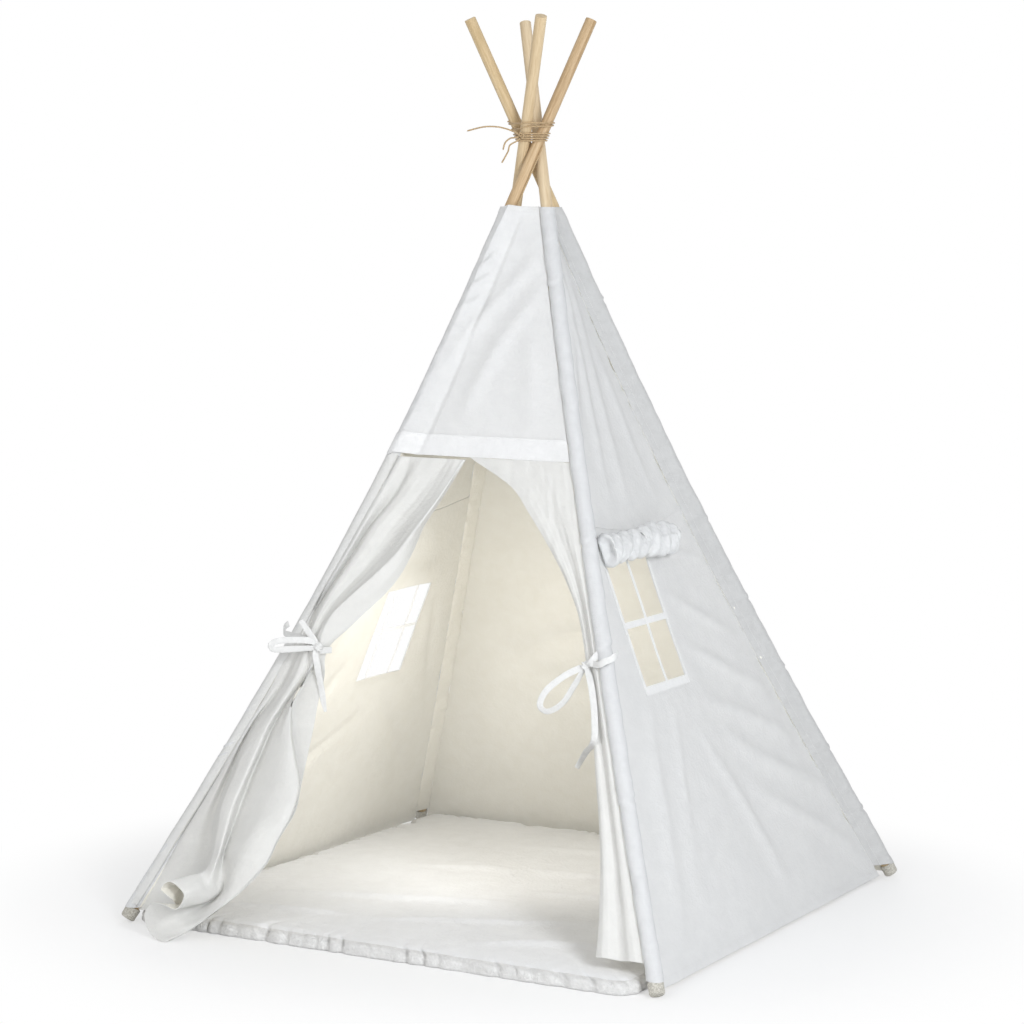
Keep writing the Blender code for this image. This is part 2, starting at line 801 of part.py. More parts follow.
def build_tie(side, corner, flap, bow_way, tape):
    """Two cotton tapes sewn in at the sleeve's seam and tied in a bow in front."""
    down = Vector((0, 0, -1))
    facing = front_wall.normal(tie_height)
    knot_angle = math.atan2(facing.y, facing.x) + math.radians(tie_knot_turn[corner])
    way = Vector((math.cos(knot_angle), math.sin(knot_angle), 0))
    aside = Vector((-way.y, way.x, 0))
    lifted = way * tie_wall * 3
    seam = sleeve_seam(corner, tie_height) - pole_at(corner, tie_height)
    seam_angle = math.atan2(seam.y, seam.x)
    turn = math.radians(90) - math.asin(sleeve_outer / seam.length)
    spin = 1 if side == "left" else -1
    sweep = (knot_angle - seam_angle - spin * turn) * spin % math.tau * spin
    outer = taut_tape(flap, corner, seam_angle + spin * turn, sweep, tie_height, tie_rise)
    outer[-2] += lifted * 0.4
    outer[-1] += lifted
    tail = [outer[-1] + down * tie_width * 0.25 + aside * spin * tie_width * 0.6]
    for drop, shift in ((0.25, 0.8), (0.5, 0.7), (0.75, 0.8), (1.0, 1.1)):
        point = outer[-1] + down * tail_drop * drop + aside * spin * tie_width * shift
        tail.append(clear_of(flap, point, way))
    tail_flats = [(aside * spin - down).normalized()] + [aside * spin] * 4
    flats = [down] * len(outer) + tail_flats
    ribbon(f"flap_tie_{side}_outer", outer + tail, flats, tie_width, tie_wall, tape)

    sweep = (seam_angle - spin * turn - knot_angle) * spin % math.tau * -spin
    inner_z = tie_height - tie_width * 1.2
    inner = taut_tape(flap, corner, seam_angle - spin * turn, sweep, inner_z, 0)
    inner[-2] += lifted * 0.4
    inner[-1] += lifted
    lift = inner[-1] + (inner[-1] - inner[-2]).normalized() * tie_width * 0.5 + lifted
    bow_out = (aside * -spin * bow_way[0] + down * bow_way[1]).normalized()
    bow = [
        lift + bow_out * bow_length * 0.15 + way * tie_wall,
        lift + bow_out * bow_length * 0.6 + way * bow_width * 0.1,
        lift + bow_out * bow_length + way * bow_width * 0.5,
        lift + bow_out * bow_length * 0.6 + way * bow_width,
        lift + bow_out * bow_length * 0.1 + way * bow_width * 0.7,
    ]
    bow = [clear_of(flap, point, way) for point in bow]
    flats = [down] * len(inner) + [way.cross(bow_out)] * len(bow)
    ribbon(f"flap_tie_{side}_inner", inner + bow, flats, tie_width, tie_wall, tape)


# Floor mat


def rounded_outline(inset, count, ripple):
    """Points round the mat's edge, drawn in by an inset, with a puckered ripple."""
    half_x = mat_half_width - inset
    front, back = -mat_front + inset, mat_back - inset
    corner = max(mat_corner - inset, mat_corner / 3)
    straights = (2 * (half_x - corner), back - front - 2 * corner)
    arc = math.radians(90) * corner
    pieces = []
    for k in range(4):
        pieces.append(("line", k, straights[k % 2]))
        pieces.append(("arc", k, arc))
    total = sum(piece[2] for piece in pieces)
    corners = (
        Vector((half_x - corner, front + corner, 0)),
        Vector((half_x - corner, back - corner, 0)),
        Vector((-half_x + corner, back - corner, 0)),
        Vector((-half_x + corner, front + corner, 0)),
    )
    points = []
    for n in range(count):
        left_over = total * n / count
        for kind, k, length in pieces:
            if left_over <= length:
                break
            left_over -= length
        facing = math.radians(-90 + 90 * k)
        if kind == "arc":
            facing += math.radians(90) * left_over / arc
            base = corners[k]
        else:
            base = corners[k - 1].lerp(corners[k], left_over / length)
        outward_way = Vector((math.cos(facing), math.sin(facing), 0))
        wave = ripple * 0.5 * (math.sin(math.tau * 37 * n / count) - 1)
        points.append(base + outward_way * (corner + wave))
    return points


def build_mat(cloth):
    count = 148
    rings_of_shares = (
        (mat_edge_inset, 0, 0),
        (0, 0.42, 1),
        (mat_edge_inset, 0.86, 1.6),
        (mat_edge_inset * 2.6, 1.0, 0.8),
        (mat_edge_inset * 7, 1.0, 0),
        (mat_half_width * 0.45, 1.0, 0),
        (mat_half_width * 0.85, 1.0, 0),
    )
    mesh_data = bmesh.new()
    rings = []
    for at, (inset, height_share, ripple_share) in enumerate(rings_of_shares):
        rise = mat_edge_height * height_share
        if at >= 3:
            spread = min(1, inset / (mat_half_width * 0.85))
            rise += (mat_crown - mat_edge_height) * math.sin(math.radians(90) * spread)
        ring = []
        for point in rounded_outline(inset, count, mat_pucker * ripple_share):
            ring.append(mesh_data.verts.new(point + Vector((0, 0, rise))))
        rings.append(ring)
    for lower, upper in zip(rings, rings[1:]):
        for k in range(count):
            n = (k + 1) % count
            mesh_data.faces.new((lower[k], lower[n], upper[n], upper[k]))
    mesh_data.faces.new(list(reversed(rings[0])))
    mesh_data.faces.new(rings[-1])
    bmesh.ops.recalc_face_normals(mesh_data, faces=mesh_data.faces)
    return finish_mesh("floor_mat", mesh_data, cloth, smooth_angle=40)


# Lashing


def round_the_poles(angle, z):
    """A point on the taut line round all four poles at a height."""
    way = Vector((math.cos(angle), math.sin(angle), 0))
    centres = [pole_at(corner, z) for corner in corner_azimuths]
    nearest = max(centres, key=lambda centre: centre.dot(way))
    reach = pole_radius / math.cos(pole_tilt) + touch_gap + rope_radius
    return nearest + way * reach


def winding_route():
    per_turn = 24
    turns = lower_turns + upper_turns
    route = []
    start_angle = math.radians(238)
    for k in range(turns * per_turn + 1):
        turn = k / per_turn
        rise = winding_start + turn_pitch * turn
        step = min(1, max(0, turn - (lower_turns - 0.5)))
        rise += winding_step * (3 * step**2 - 2 * step**3)
        route.append(round_the_poles(start_angle + math.tau * turn, crossing_height + rise))
    return route


def least_gap(route, per_turn=24):
    """The least gap between one turn and the next ones, measured between points."""
    least = math.inf
    for i, a in enumerate(route):
        for b in route[i + per_turn // 2 :]:
            least = min(least, (a - b).length)
    return least - 2 * rope_radius


# Loose ends of the lashing: hand-picked points from the knot outwards.
# Their heights, and the ones below, are above the crossing.
rope_end_points = {
    "lashing_end_long": (
        (-0.0037, -0.0503, 0.0365),
        (-0.0130, -0.0510, 0.0405),
        (-0.0280, -0.0540, 0.0460),
        (-0.0480, -0.0600, 0.0505),
        (-0.0740, -0.0710, 0.0502),
        (-0.1035, -0.0880, 0.0415),
    ),
    "lashing_end_short": (
        (-0.0024, -0.0520, 0.0297),
        (-0.0110, -0.0530, 0.0285),
        (-0.0222, -0.0520, 0.0270),
        (-0.0323, -0.0547, 0.0178),
        (-0.0350, -0.0579, 0.0034),
    ),
    "lashing_end_curled": (
        (0.0015, -0.0525, 0.0264),
        (-0.0060, -0.0545, 0.0210),
        (-0.0190, -0.0580, 0.0130),
        (-0.0225, -0.0600, -0.0005),
        (-0.0330, -0.0665, -0.0232),
    ),
}
knot_place = Vector((0.0041, -0.0490, 0.0340))
strand_ends = (0.0180, -0.1070)  # of the strand that runs down a pole to the collar


def build_lashing(cord):
    route = winding_route()
    tube("lashing_rope", route, rope_radius, cord, resolution=1)
    print(f"lashing rope: least gap to itself {least_gap(route) * 1000:.2f} mm")
    mesh_data = bmesh.new()
    bmesh.ops.create_icosphere(mesh_data, subdivisions=2, radius=knot_radius)
    crossing = Vector((0, 0, crossing_height))
    mesh_data.transform(Matrix.Translation(crossing + knot_place))
    finish_mesh("lashing_knot", mesh_data, cord, smooth_angle=60)
    for name, points in rope_end_points.items():
        tube(name, smooth_route([crossing + Vector(point) for point in points], 5), rope_radius, cord)
    strand = []
    beside = Vector((1, 0, 0))
    for k in range(9):
        z = crossing_height + strand_ends[0] + (strand_ends[1] - strand_ends[0]) * k / 8
        along = pole_direction("front_left", z)
        way = (beside - along * beside.dot(along)).normalized()
        strand.append(pole_at("front_left", z) + way * (pole_radius + touch_gap + rope_radius))
    tube("lashing_strand", strand, rope_radius, cord)


def build_all():
    clear_scene()
    wood = make_material("pine", (0.72, 0.56, 0.38), 0.55)
    metal = make_material("ferrule_steel", (0.62, 0.62, 0.60), 0.35, metallic=1.0)
    felt = make_material("foot_felt", (0.50, 0.48, 0.44), 0.9)
    canvas = make_material("white_canvas", (0.86, 0.86, 0.85), 0.85)
    tape = make_material("white_tape", (0.88, 0.88, 0.86), 0.8)
    quilt = make_material("mat_cotton", (0.85, 0.84, 0.81), 0.9)
    cord = make_material("tan_cord", (0.50, 0.37, 0.22), 0.8)

    pivots = {}
    for corner in corner_azimuths:
        pivots[corner] = build_pole(corner, wood, metal, felt)
        build_sleeve(corner, pivots[corner], canvas)

    top, seam, hem = level(collar_height), side_seam, level(hem_height)
    rows = panel_rows(front_wall, top, level(header_top), 6, even_shares(6))
    sheet("front_upper_panel", rows, canvas)
    rows = panel_rows(front_wall, level(header_top - seam_gap), level(header_bottom), 1, even_shares(6))
    sheet("door_header", rows, canvas, wall=header_wall)
    windows = (
        (right_wall, right_window_shift, right_sill_height, right_window_height),
        (left_wall, left_window_shift, left_sill_height, left_window_height),
    )
    trims = (
        ("right", right_tape_share, right_upright_shares, right_window_tape),
        ("left", left_tape_share, left_upright_shares, left_window_tape),
    )
    for (wall, shift, sill, tall), (side, tape_share, upright_shares, tape_width) in zip(windows, trims):
        rows = panel_rows(wall, top, seam, 6, seam_shares(wall, shift))
        sheet(f"{side}_upper_panel", rows, canvas)
        window_panel(f"{side}_lower_panel", wall, shift, sill, tall, canvas)
        window_trim(side, wall, shift, sill, tall, tape_share, upright_shares, tape_width, tape)
        drop = right_shade_drop if side == "right" else left_shade_drop
        build_shade(side, wall, shift, drop, canvas, tape)
    sheet("back_panel", panel_rows(back_wall, top, hem, 12, even_shares(8)), canvas)

    flap = build_flap(
        "door_flap_left", True, left_flap_shares, left_flap_out, left_fold_depth, 2.5, 24, canvas
    )
    build_tie("left", "front_left", flap, (1, 0), tape)
    flap = build_flap(
        "door_flap_right", False, right_flap_shares, right_flap_in, right_fold_depth, 1.5, 16, canvas
    )
    build_tie("right", "front_right", flap, (-1, 1), tape)
    build_mat(quilt)
    build_lashing(cord)


build_all()
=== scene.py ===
import math

import bmesh
import bpy
import numpy as np
from mathutils import Matrix, Vector, noise


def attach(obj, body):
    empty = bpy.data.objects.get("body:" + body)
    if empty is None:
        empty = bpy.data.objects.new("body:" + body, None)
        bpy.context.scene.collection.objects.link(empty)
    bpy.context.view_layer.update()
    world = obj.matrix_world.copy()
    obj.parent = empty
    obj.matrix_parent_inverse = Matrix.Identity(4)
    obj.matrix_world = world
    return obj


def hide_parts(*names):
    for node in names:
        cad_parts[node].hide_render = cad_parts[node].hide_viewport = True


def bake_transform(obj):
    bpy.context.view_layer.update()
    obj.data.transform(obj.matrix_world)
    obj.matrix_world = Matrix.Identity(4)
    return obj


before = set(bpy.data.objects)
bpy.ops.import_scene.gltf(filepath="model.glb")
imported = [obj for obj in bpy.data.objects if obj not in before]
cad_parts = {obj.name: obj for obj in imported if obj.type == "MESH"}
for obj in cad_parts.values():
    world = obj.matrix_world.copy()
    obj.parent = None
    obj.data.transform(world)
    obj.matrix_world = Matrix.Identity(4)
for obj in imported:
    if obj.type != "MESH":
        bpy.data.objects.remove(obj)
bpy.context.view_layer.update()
scene = bpy.context.scene
print("frame loaded:", len(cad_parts), "nodes")


def addObject(name, data):
    piece = bpy.data.objects.new(name, data)
    scene.collection.objects.link(piece)
    return piece


# Camera: the photograph's view

view = {
    "place": (3.0631, -5.5039, 1.468),
    "azimuth": 29.398,
    "elevation": 5.872,
    "roll": 0.578,
    "lens": 106.57,
    "sensor": 36,
    "farthest": 60,
}


def makeCamera():
    azimuth, elevation, roll = (math.radians(view[key]) for key in ("azimuth", "elevation", "roll"))
    flat = math.cos(elevation)
    back = Vector((math.sin(azimuth) * flat, -math.cos(azimuth) * flat, math.sin(elevation)))
    right = Vector((0, 0, 1)).cross(back).normalized()
    up = back.cross(right)
    axes = (right * math.cos(roll) + up * math.sin(roll), up * math.cos(roll) - right * math.sin(roll), back)
    camera = addObject("photoCamera", bpy.data.cameras.new("photoCamera"))
    camera.data.lens, camera.data.sensor_width, camera.data.clip_end = view["lens"], view["sensor"], view["farthest"]
    camera.matrix_world = Matrix.Translation(view["place"]) @ Matrix(axes).transposed().to_4x4()
    scene.camera = camera


makeCamera()

# Shader groups, built once and used by several materials


def wire(tree, value, socket):
    if isinstance(value, bpy.types.NodeSocket):
        tree.links.new(value, socket)
    else:
        socket.default_value = value


def addNode(tree, kind, inputs=None, **settings):
    node = tree.nodes.new(kind)
    for key, value in settings.items():
        setattr(node, key, value)
    for key, value in (inputs or {}).items():
        wire(tree, value, node.inputs[key])
    return node


def calc(tree, operation, *values):
    return addNode(tree, "ShaderNodeMath", dict(enumerate(values)), operation=operation).outputs[0]


def noiseOf(tree, vector, **inputs):
    return addNode(tree, "ShaderNodeTexNoise", {"Vector": vector, **inputs}).outputs[0]


def objectPlace(tree):
    return tree.nodes.new("ShaderNodeTexCoord").outputs["Object"]


def addGroup(name, inputs, outputs):
    tree = bpy.data.node_groups.new(name, "ShaderNodeTree")
    for label, value in inputs.items():
        kind = "NodeSocketVector" if value is None else "NodeSocketFloat"
        socket = tree.interface.new_socket(name=label, in_out="INPUT", socket_type=kind)
        if value is not None:
            socket.default_value = value
    for label in outputs:
        tree.interface.new_socket(name=label, in_out="OUTPUT", socket_type="NodeSocketFloat")
    return tree, tree.nodes.new("NodeGroupInput").outputs, tree.nodes.new("NodeGroupOutput").inputs


def makeWeaveGroup():
    given = {"Vector": None, "Thread": 0.0011, "Depth": 0.0001}
    tree, given, result = addGroup("clothWeave", given, ("Height", "Slub"))
    place = addNode(tree, "ShaderNodeSeparateXYZ", {0: given["Vector"]}).outputs
    pitch = calc(tree, "DIVIDE", math.pi, given["Thread"])
    warp, weft = (calc(tree, "SINE", calc(tree, "MULTIPLY", place[k], pitch)) for k in range(2))
    slubs = []
    for scale in ((18, 900, 1), (900, 14, 1)):
        drawn = addNode(tree, "ShaderNodeMapping", {"Vector": given["Vector"], "Scale": scale}).outputs[0]
        slubs.append(noiseOf(tree, drawn, Scale=1, Detail=1))
    slub = calc(tree, "MULTIPLY", calc(tree, "ADD", *slubs), 0.5)
    height = calc(tree, "ADD", calc(tree, "MULTIPLY", calc(tree, "MULTIPLY", warp, weft), 0.5), slub)
    wire(tree, calc(tree, "MULTIPLY", height, given["Depth"]), result["Height"])
    wire(tree, slub, result["Slub"])
    return tree


def makeCreaseGroup():
    tree, given, result = addGroup("clothCreases", {"Vector": None, "Size": 0.05, "Depth": 0.001}, ("Height", "Mask"))
    per = calc(tree, "DIVIDE", 1.0, given["Size"])
    sized = {0: given["Vector"], "Scale": per}
    place = addNode(tree, "ShaderNodeVectorMath", sized, operation="SCALE").outputs[0]
    broad = noiseOf(tree, place, Scale=1, Detail=3, Distortion=0.6)
    ridge = calc(tree, "ABSOLUTE", calc(tree, "SUBTRACT", noiseOf(tree, place, Scale=2.3, Detail=2), 0.5))
    sharp = calc(tree, "POWER", calc(tree, "SUBTRACT", 1.0, calc(tree, "MULTIPLY", ridge, 2.0)), 6.0)
    mixed = calc(tree, "ADD", broad, calc(tree, "MULTIPLY", sharp, 0.35))
    wire(tree, calc(tree, "MULTIPLY", mixed, given["Depth"]), result["Height"])
    wire(tree, broad, result["Mask"])
    return tree


def makeGrainGroup():
    tree, given, result = addGroup("pineGrain", {"Vector": None, "Rings": 90.0, "Depth": 0.0001}, ("Mask", "Height"))
    drawn = addNode(tree, "ShaderNodeMapping", {"Vector": given["Vector"], "Scale": (1, 1, 0.045)}).outputs[0]
    broad = noiseOf(tree, drawn, Scale=given["Rings"], Detail=3, Distortion=0.8)
    fine = noiseOf(tree, drawn, Scale=calc(tree, "MULTIPLY", given["Rings"], 9.0), Detail=2)
    mask = calc(tree, "ADD", calc(tree, "MULTIPLY", broad, 0.65), calc(tree, "MULTIPLY", fine, 0.35))
    wire(tree, mask, result["Mask"])
    wire(tree, calc(tree, "MULTIPLY", mask, given["Depth"]), result["Height"])
    return tree


weaveGroup, creaseGroup, grainGroup = makeWeaveGroup(), makeCreaseGroup(), makeGrainGroup()


def startMaterial(name, roughness, sheen=0.0):
    material = bpy.data.materials.new(name)
    material.use_nodes = True
    shader = material.node_tree.nodes["Principled BSDF"]
    shader.inputs["Roughness"].default_value = roughness
    shader.inputs["Specular IOR Level"].default_value = 0.3
    shader.inputs["Sheen Weight"].default_value = sheen
    shader.inputs["Sheen Roughness"].default_value = 0.5
    return material, material.node_tree, shader


def colourBetween(tree, shader, mask, low, high, start=0.35, stop=0.65):
    ramp = addNode(tree, "ShaderNodeValToRGB", {0: mask})
    for element, place, colour in zip(ramp.color_ramp.elements, (start, stop), (low, high)):
        element.position, element.color = place, (*colour, 1)
    wire(tree, ramp.outputs[0], shader.inputs["Base Color"])


def addBump(tree, shader, height):
    normal = addNode(tree, "ShaderNodeBump", {"Strength": 1.0, "Distance": 1.0, "Height": height}).outputs[0]
    wire(tree, normal, shader.inputs["Normal"])
    return normal


def mixInto(tree, share, first, second, output):
    mixed = addNode(tree, "ShaderNodeMixShader", {0: share, 1: first.outputs[0], 2: second.outputs[0]})
    wire(tree, mixed.outputs[0], tree.nodes[output].inputs["Surface"])


canvasLooks = {
    "roughness": 0.85,
    "sheen": 0.15,
    "thread": 0.0012,
    "threadDepth": 0.00010,
    "creaseShare": 0.6,
    "lightThrough": 0.22,
    "through": (0.93, 0.925, 0.90),
}


def clothMaterial(name, low, high, creaseSize, creaseDepth, isThin=False):
    material, tree, shader = startMaterial(name, canvasLooks["roughness"], canvasLooks["sheen"])
    flat = addNode(tree, "ShaderNodeUVMap", uv_map="weave").outputs[0]
    threads = {"Vector": flat, "Thread": canvasLooks["thread"], "Depth": canvasLooks["threadDepth"]}
    weave = addNode(tree, "ShaderNodeGroup", threads, node_tree=weaveGroup).outputs
    creases = {"Vector": objectPlace(tree), "Size": creaseSize, "Depth": creaseDepth}
    crease = addNode(tree, "ShaderNodeGroup", creases, node_tree=creaseGroup).outputs
    share = canvasLooks["creaseShare"]
    parts = (calc(tree, "MULTIPLY", crease["Mask"], share), calc(tree, "MULTIPLY", weave["Slub"], 1 - share))
    mask = calc(tree, "ADD", *parts)
    colourBetween(tree, shader, mask, low, high)
    normal = addBump(tree, shader, calc(tree, "ADD", weave["Height"], crease["Height"]))
    if isThin:
        glow = addNode(tree, "ShaderNodeBsdfTranslucent", {"Color": (*canvasLooks["through"], 1), "Normal": normal})
        mixInto(tree, canvasLooks["lightThrough"], shader, glow, "Material Output")
    return material


# Each cloth: its darker and lighter colour, the size and depth of its small creases, and whether light comes through
# Inside faces are painted cream: partly the cotton's own tone, partly painted warm light that comes through the
# cloth.
insideColours = ((0.85, 0.825, 0.75), (0.885, 0.865, 0.80))
thinCreases, thickCreases, tapeCreases = (0.030, 0.00085), (0.02, 0.0008), (0.012, 0.0004)
canvasOut = clothMaterial("canvasOutside", (0.80, 0.805, 0.815), (0.845, 0.85, 0.858), *thinCreases, True)
canvasIn = clothMaterial("canvasInside", *insideColours, *thinCreases, True)
# Flaps: painted warm shade, the outside a little warmer and darker than the walls for light through the cream cotton
# in their folds.
canvasFlap = clothMaterial("canvasFlap", (0.79, 0.79, 0.778), (0.835, 0.835, 0.822), *thinCreases, True)
# Sleeves' doubled cloth: painted shade, darker than the walls because light comes through the thin walls but not
# through a sleeve round its pole.
canvasThick = clothMaterial("canvasDoubled", (0.68, 0.685, 0.69), (0.73, 0.735, 0.74), *thickCreases)
# Back right sleeve: painted shade, a darker grey copy for the side turned away from the light.
canvasPaintedDeepShade = clothMaterial("canvasDoubledPaintedDeepShade", (0.555, 0.555, 0.55), (0.61, 0.61, 0.605), *thickCreases)
canvasThickIn = clothMaterial("canvasDoubledInside", *insideColours, *thickCreases)
# Front right sleeve: painted shade, a darker copy so the brightly lit sleeve comes out dimmer.
canvasSleevePaintedShade = clothMaterial("canvasSleevePaintedShade", (0.62, 0.625, 0.63), (0.67, 0.675, 0.68), *thickCreases)
canvasHeader = clothMaterial("canvasHeader", (0.765, 0.765, 0.765), (0.81, 0.81, 0.81), *thickCreases)
canvasShade = clothMaterial("canvasGathered", (0.70, 0.705, 0.705), (0.77, 0.775, 0.775), 0.014, 0.0005)
tapeCotton = clothMaterial("cottonTape", (0.825, 0.825, 0.82), (0.87, 0.87, 0.865), *tapeCreases)
tieCotton = clothMaterial("tieTape", (0.70, 0.70, 0.69), (0.77, 0.77, 0.76), 0.012, 0.0006)
# Mat edge band: painted shade, darker than the top because the light from above doesn't reach the side.
matEdgePaintedShade = clothMaterial("matCottonEdgePaintedShade", (0.66, 0.655, 0.645), (0.79, 0.785, 0.775), 0.014, 0.0026)
quiltCotton = clothMaterial("matCotton", (0.80, 0.80, 0.805), (0.845, 0.847, 0.855), 0.045, 0.0016)


def speckled(name, roughness, scale, low, high, sheen=0.0, detail=2.0, depth=0.0, metallic=0.0):
    material, tree, shader = startMaterial(name, roughness, sheen)
    shader.inputs["Metallic"].default_value = metallic
    speck = noiseOf(tree, objectPlace(tree), Scale=scale, Detail=detail)
    colourBetween(tree, shader, speck, low, high)
    if depth:
        addBump(tree, shader, calc(tree, "MULTIPLY", speck, depth))
    return material, tree, shader


threadCotton = speckled("sewingThread", 0.6, 900, (0.76, 0.76, 0.75), (0.86, 0.86, 0.85))[0]
tanCord = speckled("tanCord", 0.8, 700, (0.34, 0.23, 0.12), (0.62, 0.46, 0.27), 0.2, 2, 0.0006)[0]
footFelt = speckled("footFelt", 0.9, 420, (0.38, 0.36, 0.31), (0.66, 0.64, 0.58), 0.1, 4, 0.0012)[0]
ferruleSteel = speckled("ferruleSteel", 0.35, 300, (0.5, 0.5, 0.49), (0.66, 0.66, 0.64), metallic=1)[0]

woodLooks = {
    "roughness": 0.5,
    "rings": 95.0,
    "depth": 0.00025,
    "front_left": ((0.43, 0.29, 0.155), (0.62, 0.46, 0.28)),
    "front_right": ((0.60, 0.46, 0.29), (0.76, 0.63, 0.44)),
    "back_right": ((0.50, 0.37, 0.20), (0.68, 0.53, 0.33)),
    "back_left": ((0.56, 0.42, 0.25), (0.72, 0.58, 0.38)),
}


def pineMaterial(corner, direction):
    material, tree, shader = startMaterial(f"pine_{corner}", woodLooks["roughness"])
    upright = direction.to_track_quat("Z", "Y").to_matrix().inverted().to_euler()
    along = {"Vector": objectPlace(tree), "Rotation": upright}
    drawn = addNode(tree, "ShaderNodeMapping", along, vector_type="POINT").outputs[0]
    grown = {"Vector": drawn, "Rings": woodLooks["rings"], "Depth": woodLooks["depth"]}
    grain = addNode(tree, "ShaderNodeGroup", grown, node_tree=grainGroup).outputs
    colourBetween(tree, shader, grain["Mask"], *woodLooks[corner], 0.38, 0.62)
    addBump(tree, shader, grain["Height"])
    return material


print("materials made")

# The teepee's own lines: bowed poles and the walls between their sleeves

shape = {
    "baseWidth": 1.200,
    "crossingHeight": 1.567,
    "crossingOffset": 0.0187,
    "poleRadius": 0.012,
    "poleLength": 2.070,
    "bow": {"front_left": 0.051, "front_right": 0.040, "back_right": 0.031, "back_left": 0.040},
    "collar": 1.455,
    "collarBand": 0.012,
    "hem": 0.007,
    "hemBand": (0.0195, 0.0215),
    "sleeveHem": 0.031,
    "sleeveInner": 0.0143,
    "sleeveOuter": 0.0155,
    "sleeveInset": 0.011,
    "sleeveDepth": (0.045, 0.0175),
    "sideGap": 0.0003,
    "frontGap": 0.0154,
    "frontOut": 0.006,
    "headerTop": 0.98502,
    "headerBottom": 0.94902,
    "sideSeam": 0.82205,
    "seamSag": 0.020,
    "seamGap": 0.0004,
    "cloth": 0.0016,
}
footRadius = shape["baseWidth"] / math.sqrt(2)
azimuths = {"front_left": 225, "front_right": 315, "back_right": 45, "back_left": 135}
corners = list(azimuths)
down = Vector((0, 0, -1))


def level(angle):
    return Vector((math.cos(angle), math.sin(angle), 0))


def besideOf(way):
    return Vector((-way.y, way.x, 0))


def outward(corner):
    return level(math.radians(azimuths[corner]))


def poleAt(corner, z):
    share, bow = z / shape["crossingHeight"], shape["bow"][corner]
    if share < 1:
        reach = footRadius * (1 - share) - bow * math.sin(math.pi * share)
    else:
        reach = (footRadius - bow * math.pi) * (1 - share)
    out = outward(corner)
    return besideOf(out) * shape["crossingOffset"] + out * reach + Vector((0, 0, z))


def poleWay(corner, z, step=0.003):
    return (poleAt(corner, z + step) - poleAt(corner, z - step)).normalized()


def towards(corner, neighbour):
    return (outward(neighbour) - outward(corner)).normalized()


def sideNeighbour(corner):
    near, far = corner.split("_")
    return f"{'back' if near == 'front' else 'front'}_{far}"


def frontNeighbour(corner):
    near, far = corner.split("_")
    return f"{near}_{'left' if far == 'right' else 'right'}"


def sleeveSeam(corner, z):
    bottom, top = shape["sleeveDepth"]
    share = (z - shape["hem"]) / (shape["collar"] - shape["hem"])
    depth = bottom + (top - bottom) * min(1, max(0, share)) ** 6
    inward = towards(corner, frontNeighbour(corner)) * shape["sleeveInset"]
    return poleAt(corner, z) + inward + towards(corner, sideNeighbour(corner)) * depth


class Wall:
    def __init__(self, key, start, end, split=0.0):
        self.key, self.start, self.end = key, start, end
        self.split = split  # where its two halves meet, from the middle
        self.kept = {}

    def edge(self, corner, neighbour, z):
        along = towards(corner, neighbour)
        if neighbour == sideNeighbour(corner):
            return sleeveSeam(corner, z) + along * shape["sideGap"]
        out = towards(corner, sideNeighbour(corner))
        return poleAt(corner, z) + along * shape["frontGap"] - out * shape["frontOut"]

    def frame(self, z):
        key = round(z, 6)
        if key not in self.kept:
            first, last = self.edge(self.start, self.end, z), self.edge(self.end, self.start, z)
            low = z - shape["hem"]
            fall = self.edge(self.start, self.end, low) + self.edge(self.end, self.start, low) - first - last
            normal = fall.normalized().cross(last - first).normalized()
            self.kept[key] = (first, last, (last - first).normalized(), normal, (last - first).length / 2)
        return self.kept[key]

    def half(self, z):
        return self.frame(z)[4]

    def at(self, share, z, out=0.0):
        first, last, along, normal, half = self.frame(z)
        return first.lerp(last, share) + normal * out

    def atShift(self, shift, z, out=0.0):
        first, last, along, normal, half = self.frame(z)
        return first.lerp(last, 0.5) + along * shift + normal * out

    def onCloth(self, x, z, lift=0.0):
        return self.atShift(x, z, relief(self, x, z) + lift)

    def onShare(self, share, z, lift=0.0):
        return self.at(share, z, relief(self, (share - 0.5) * 2 * self.half(z), z) + lift)

    def shareOf(self, point):
        first, last, along, normal, half = self.frame(min(point.z, shape["collar"]))
        return (point - first).dot(along) / (2 * half)

    def splitShare(self, z):
        return 0.5 + self.split / (2 * self.half(min(z, shape["sideSeam"])))


frontWall = Wall("front", "front_left", "front_right")
rightWall = Wall("right", "front_right", "back_right", 0.10)
backWall = Wall("back", "back_right", "back_left")
leftWall = Wall("left", "back_left", "front_left", 0.06)


def smooth(a, b, x):
    t = min(1.0, max(0.0, (x - a) / (b - a)))
    return t * t * (3 - 2 * t)


def bell(x, width):
    return math.exp(-((x / width) ** 2))


def ripple(x, y, seed, scale):
    return noise.noise(Vector((x / scale, y / scale, seed * 7.31)))


creaseFacts = {"past": 0.05, "bend": 0.35, "reach": 3, "taper": 0.6, "gain": 2.2}


def crease(x, z, lines):
    lift, past = 0.0, creaseFacts["past"]
    for x0, z0, x1, z1, width, height in lines:
        dx, dz = x1 - x0, z1 - z0
        length = math.hypot(dx, dz)
        t = ((x - x0) * dx + (z - z0) * dz) / length**2
        if -past < t < 1 + past:
            bend = creaseFacts["bend"] * width * math.sin(t * 5 + x0 * 40)
            apart = ((x - x0) * dz - (z - z0) * dx) / length + bend
            if abs(apart) < width * creaseFacts["reach"]:
                taper = math.sin(math.pi * min(1, max(0, t))) ** creaseFacts["taper"]
                lift += creaseFacts["gain"] * height * taper * bell(apart, width)
    return lift


def spread(marks, step):
    places = [marks[0]]
    for near, far in zip(marks, marks[1:]):
        count = max(1, round(abs(far - near) / step))
        places += [near + (far - near) * k / count for k in range(1, count + 1)]
    return places


def nearest(values, wanted):
    return min(range(len(values)), key=lambda k: abs(values[k] - wanted))


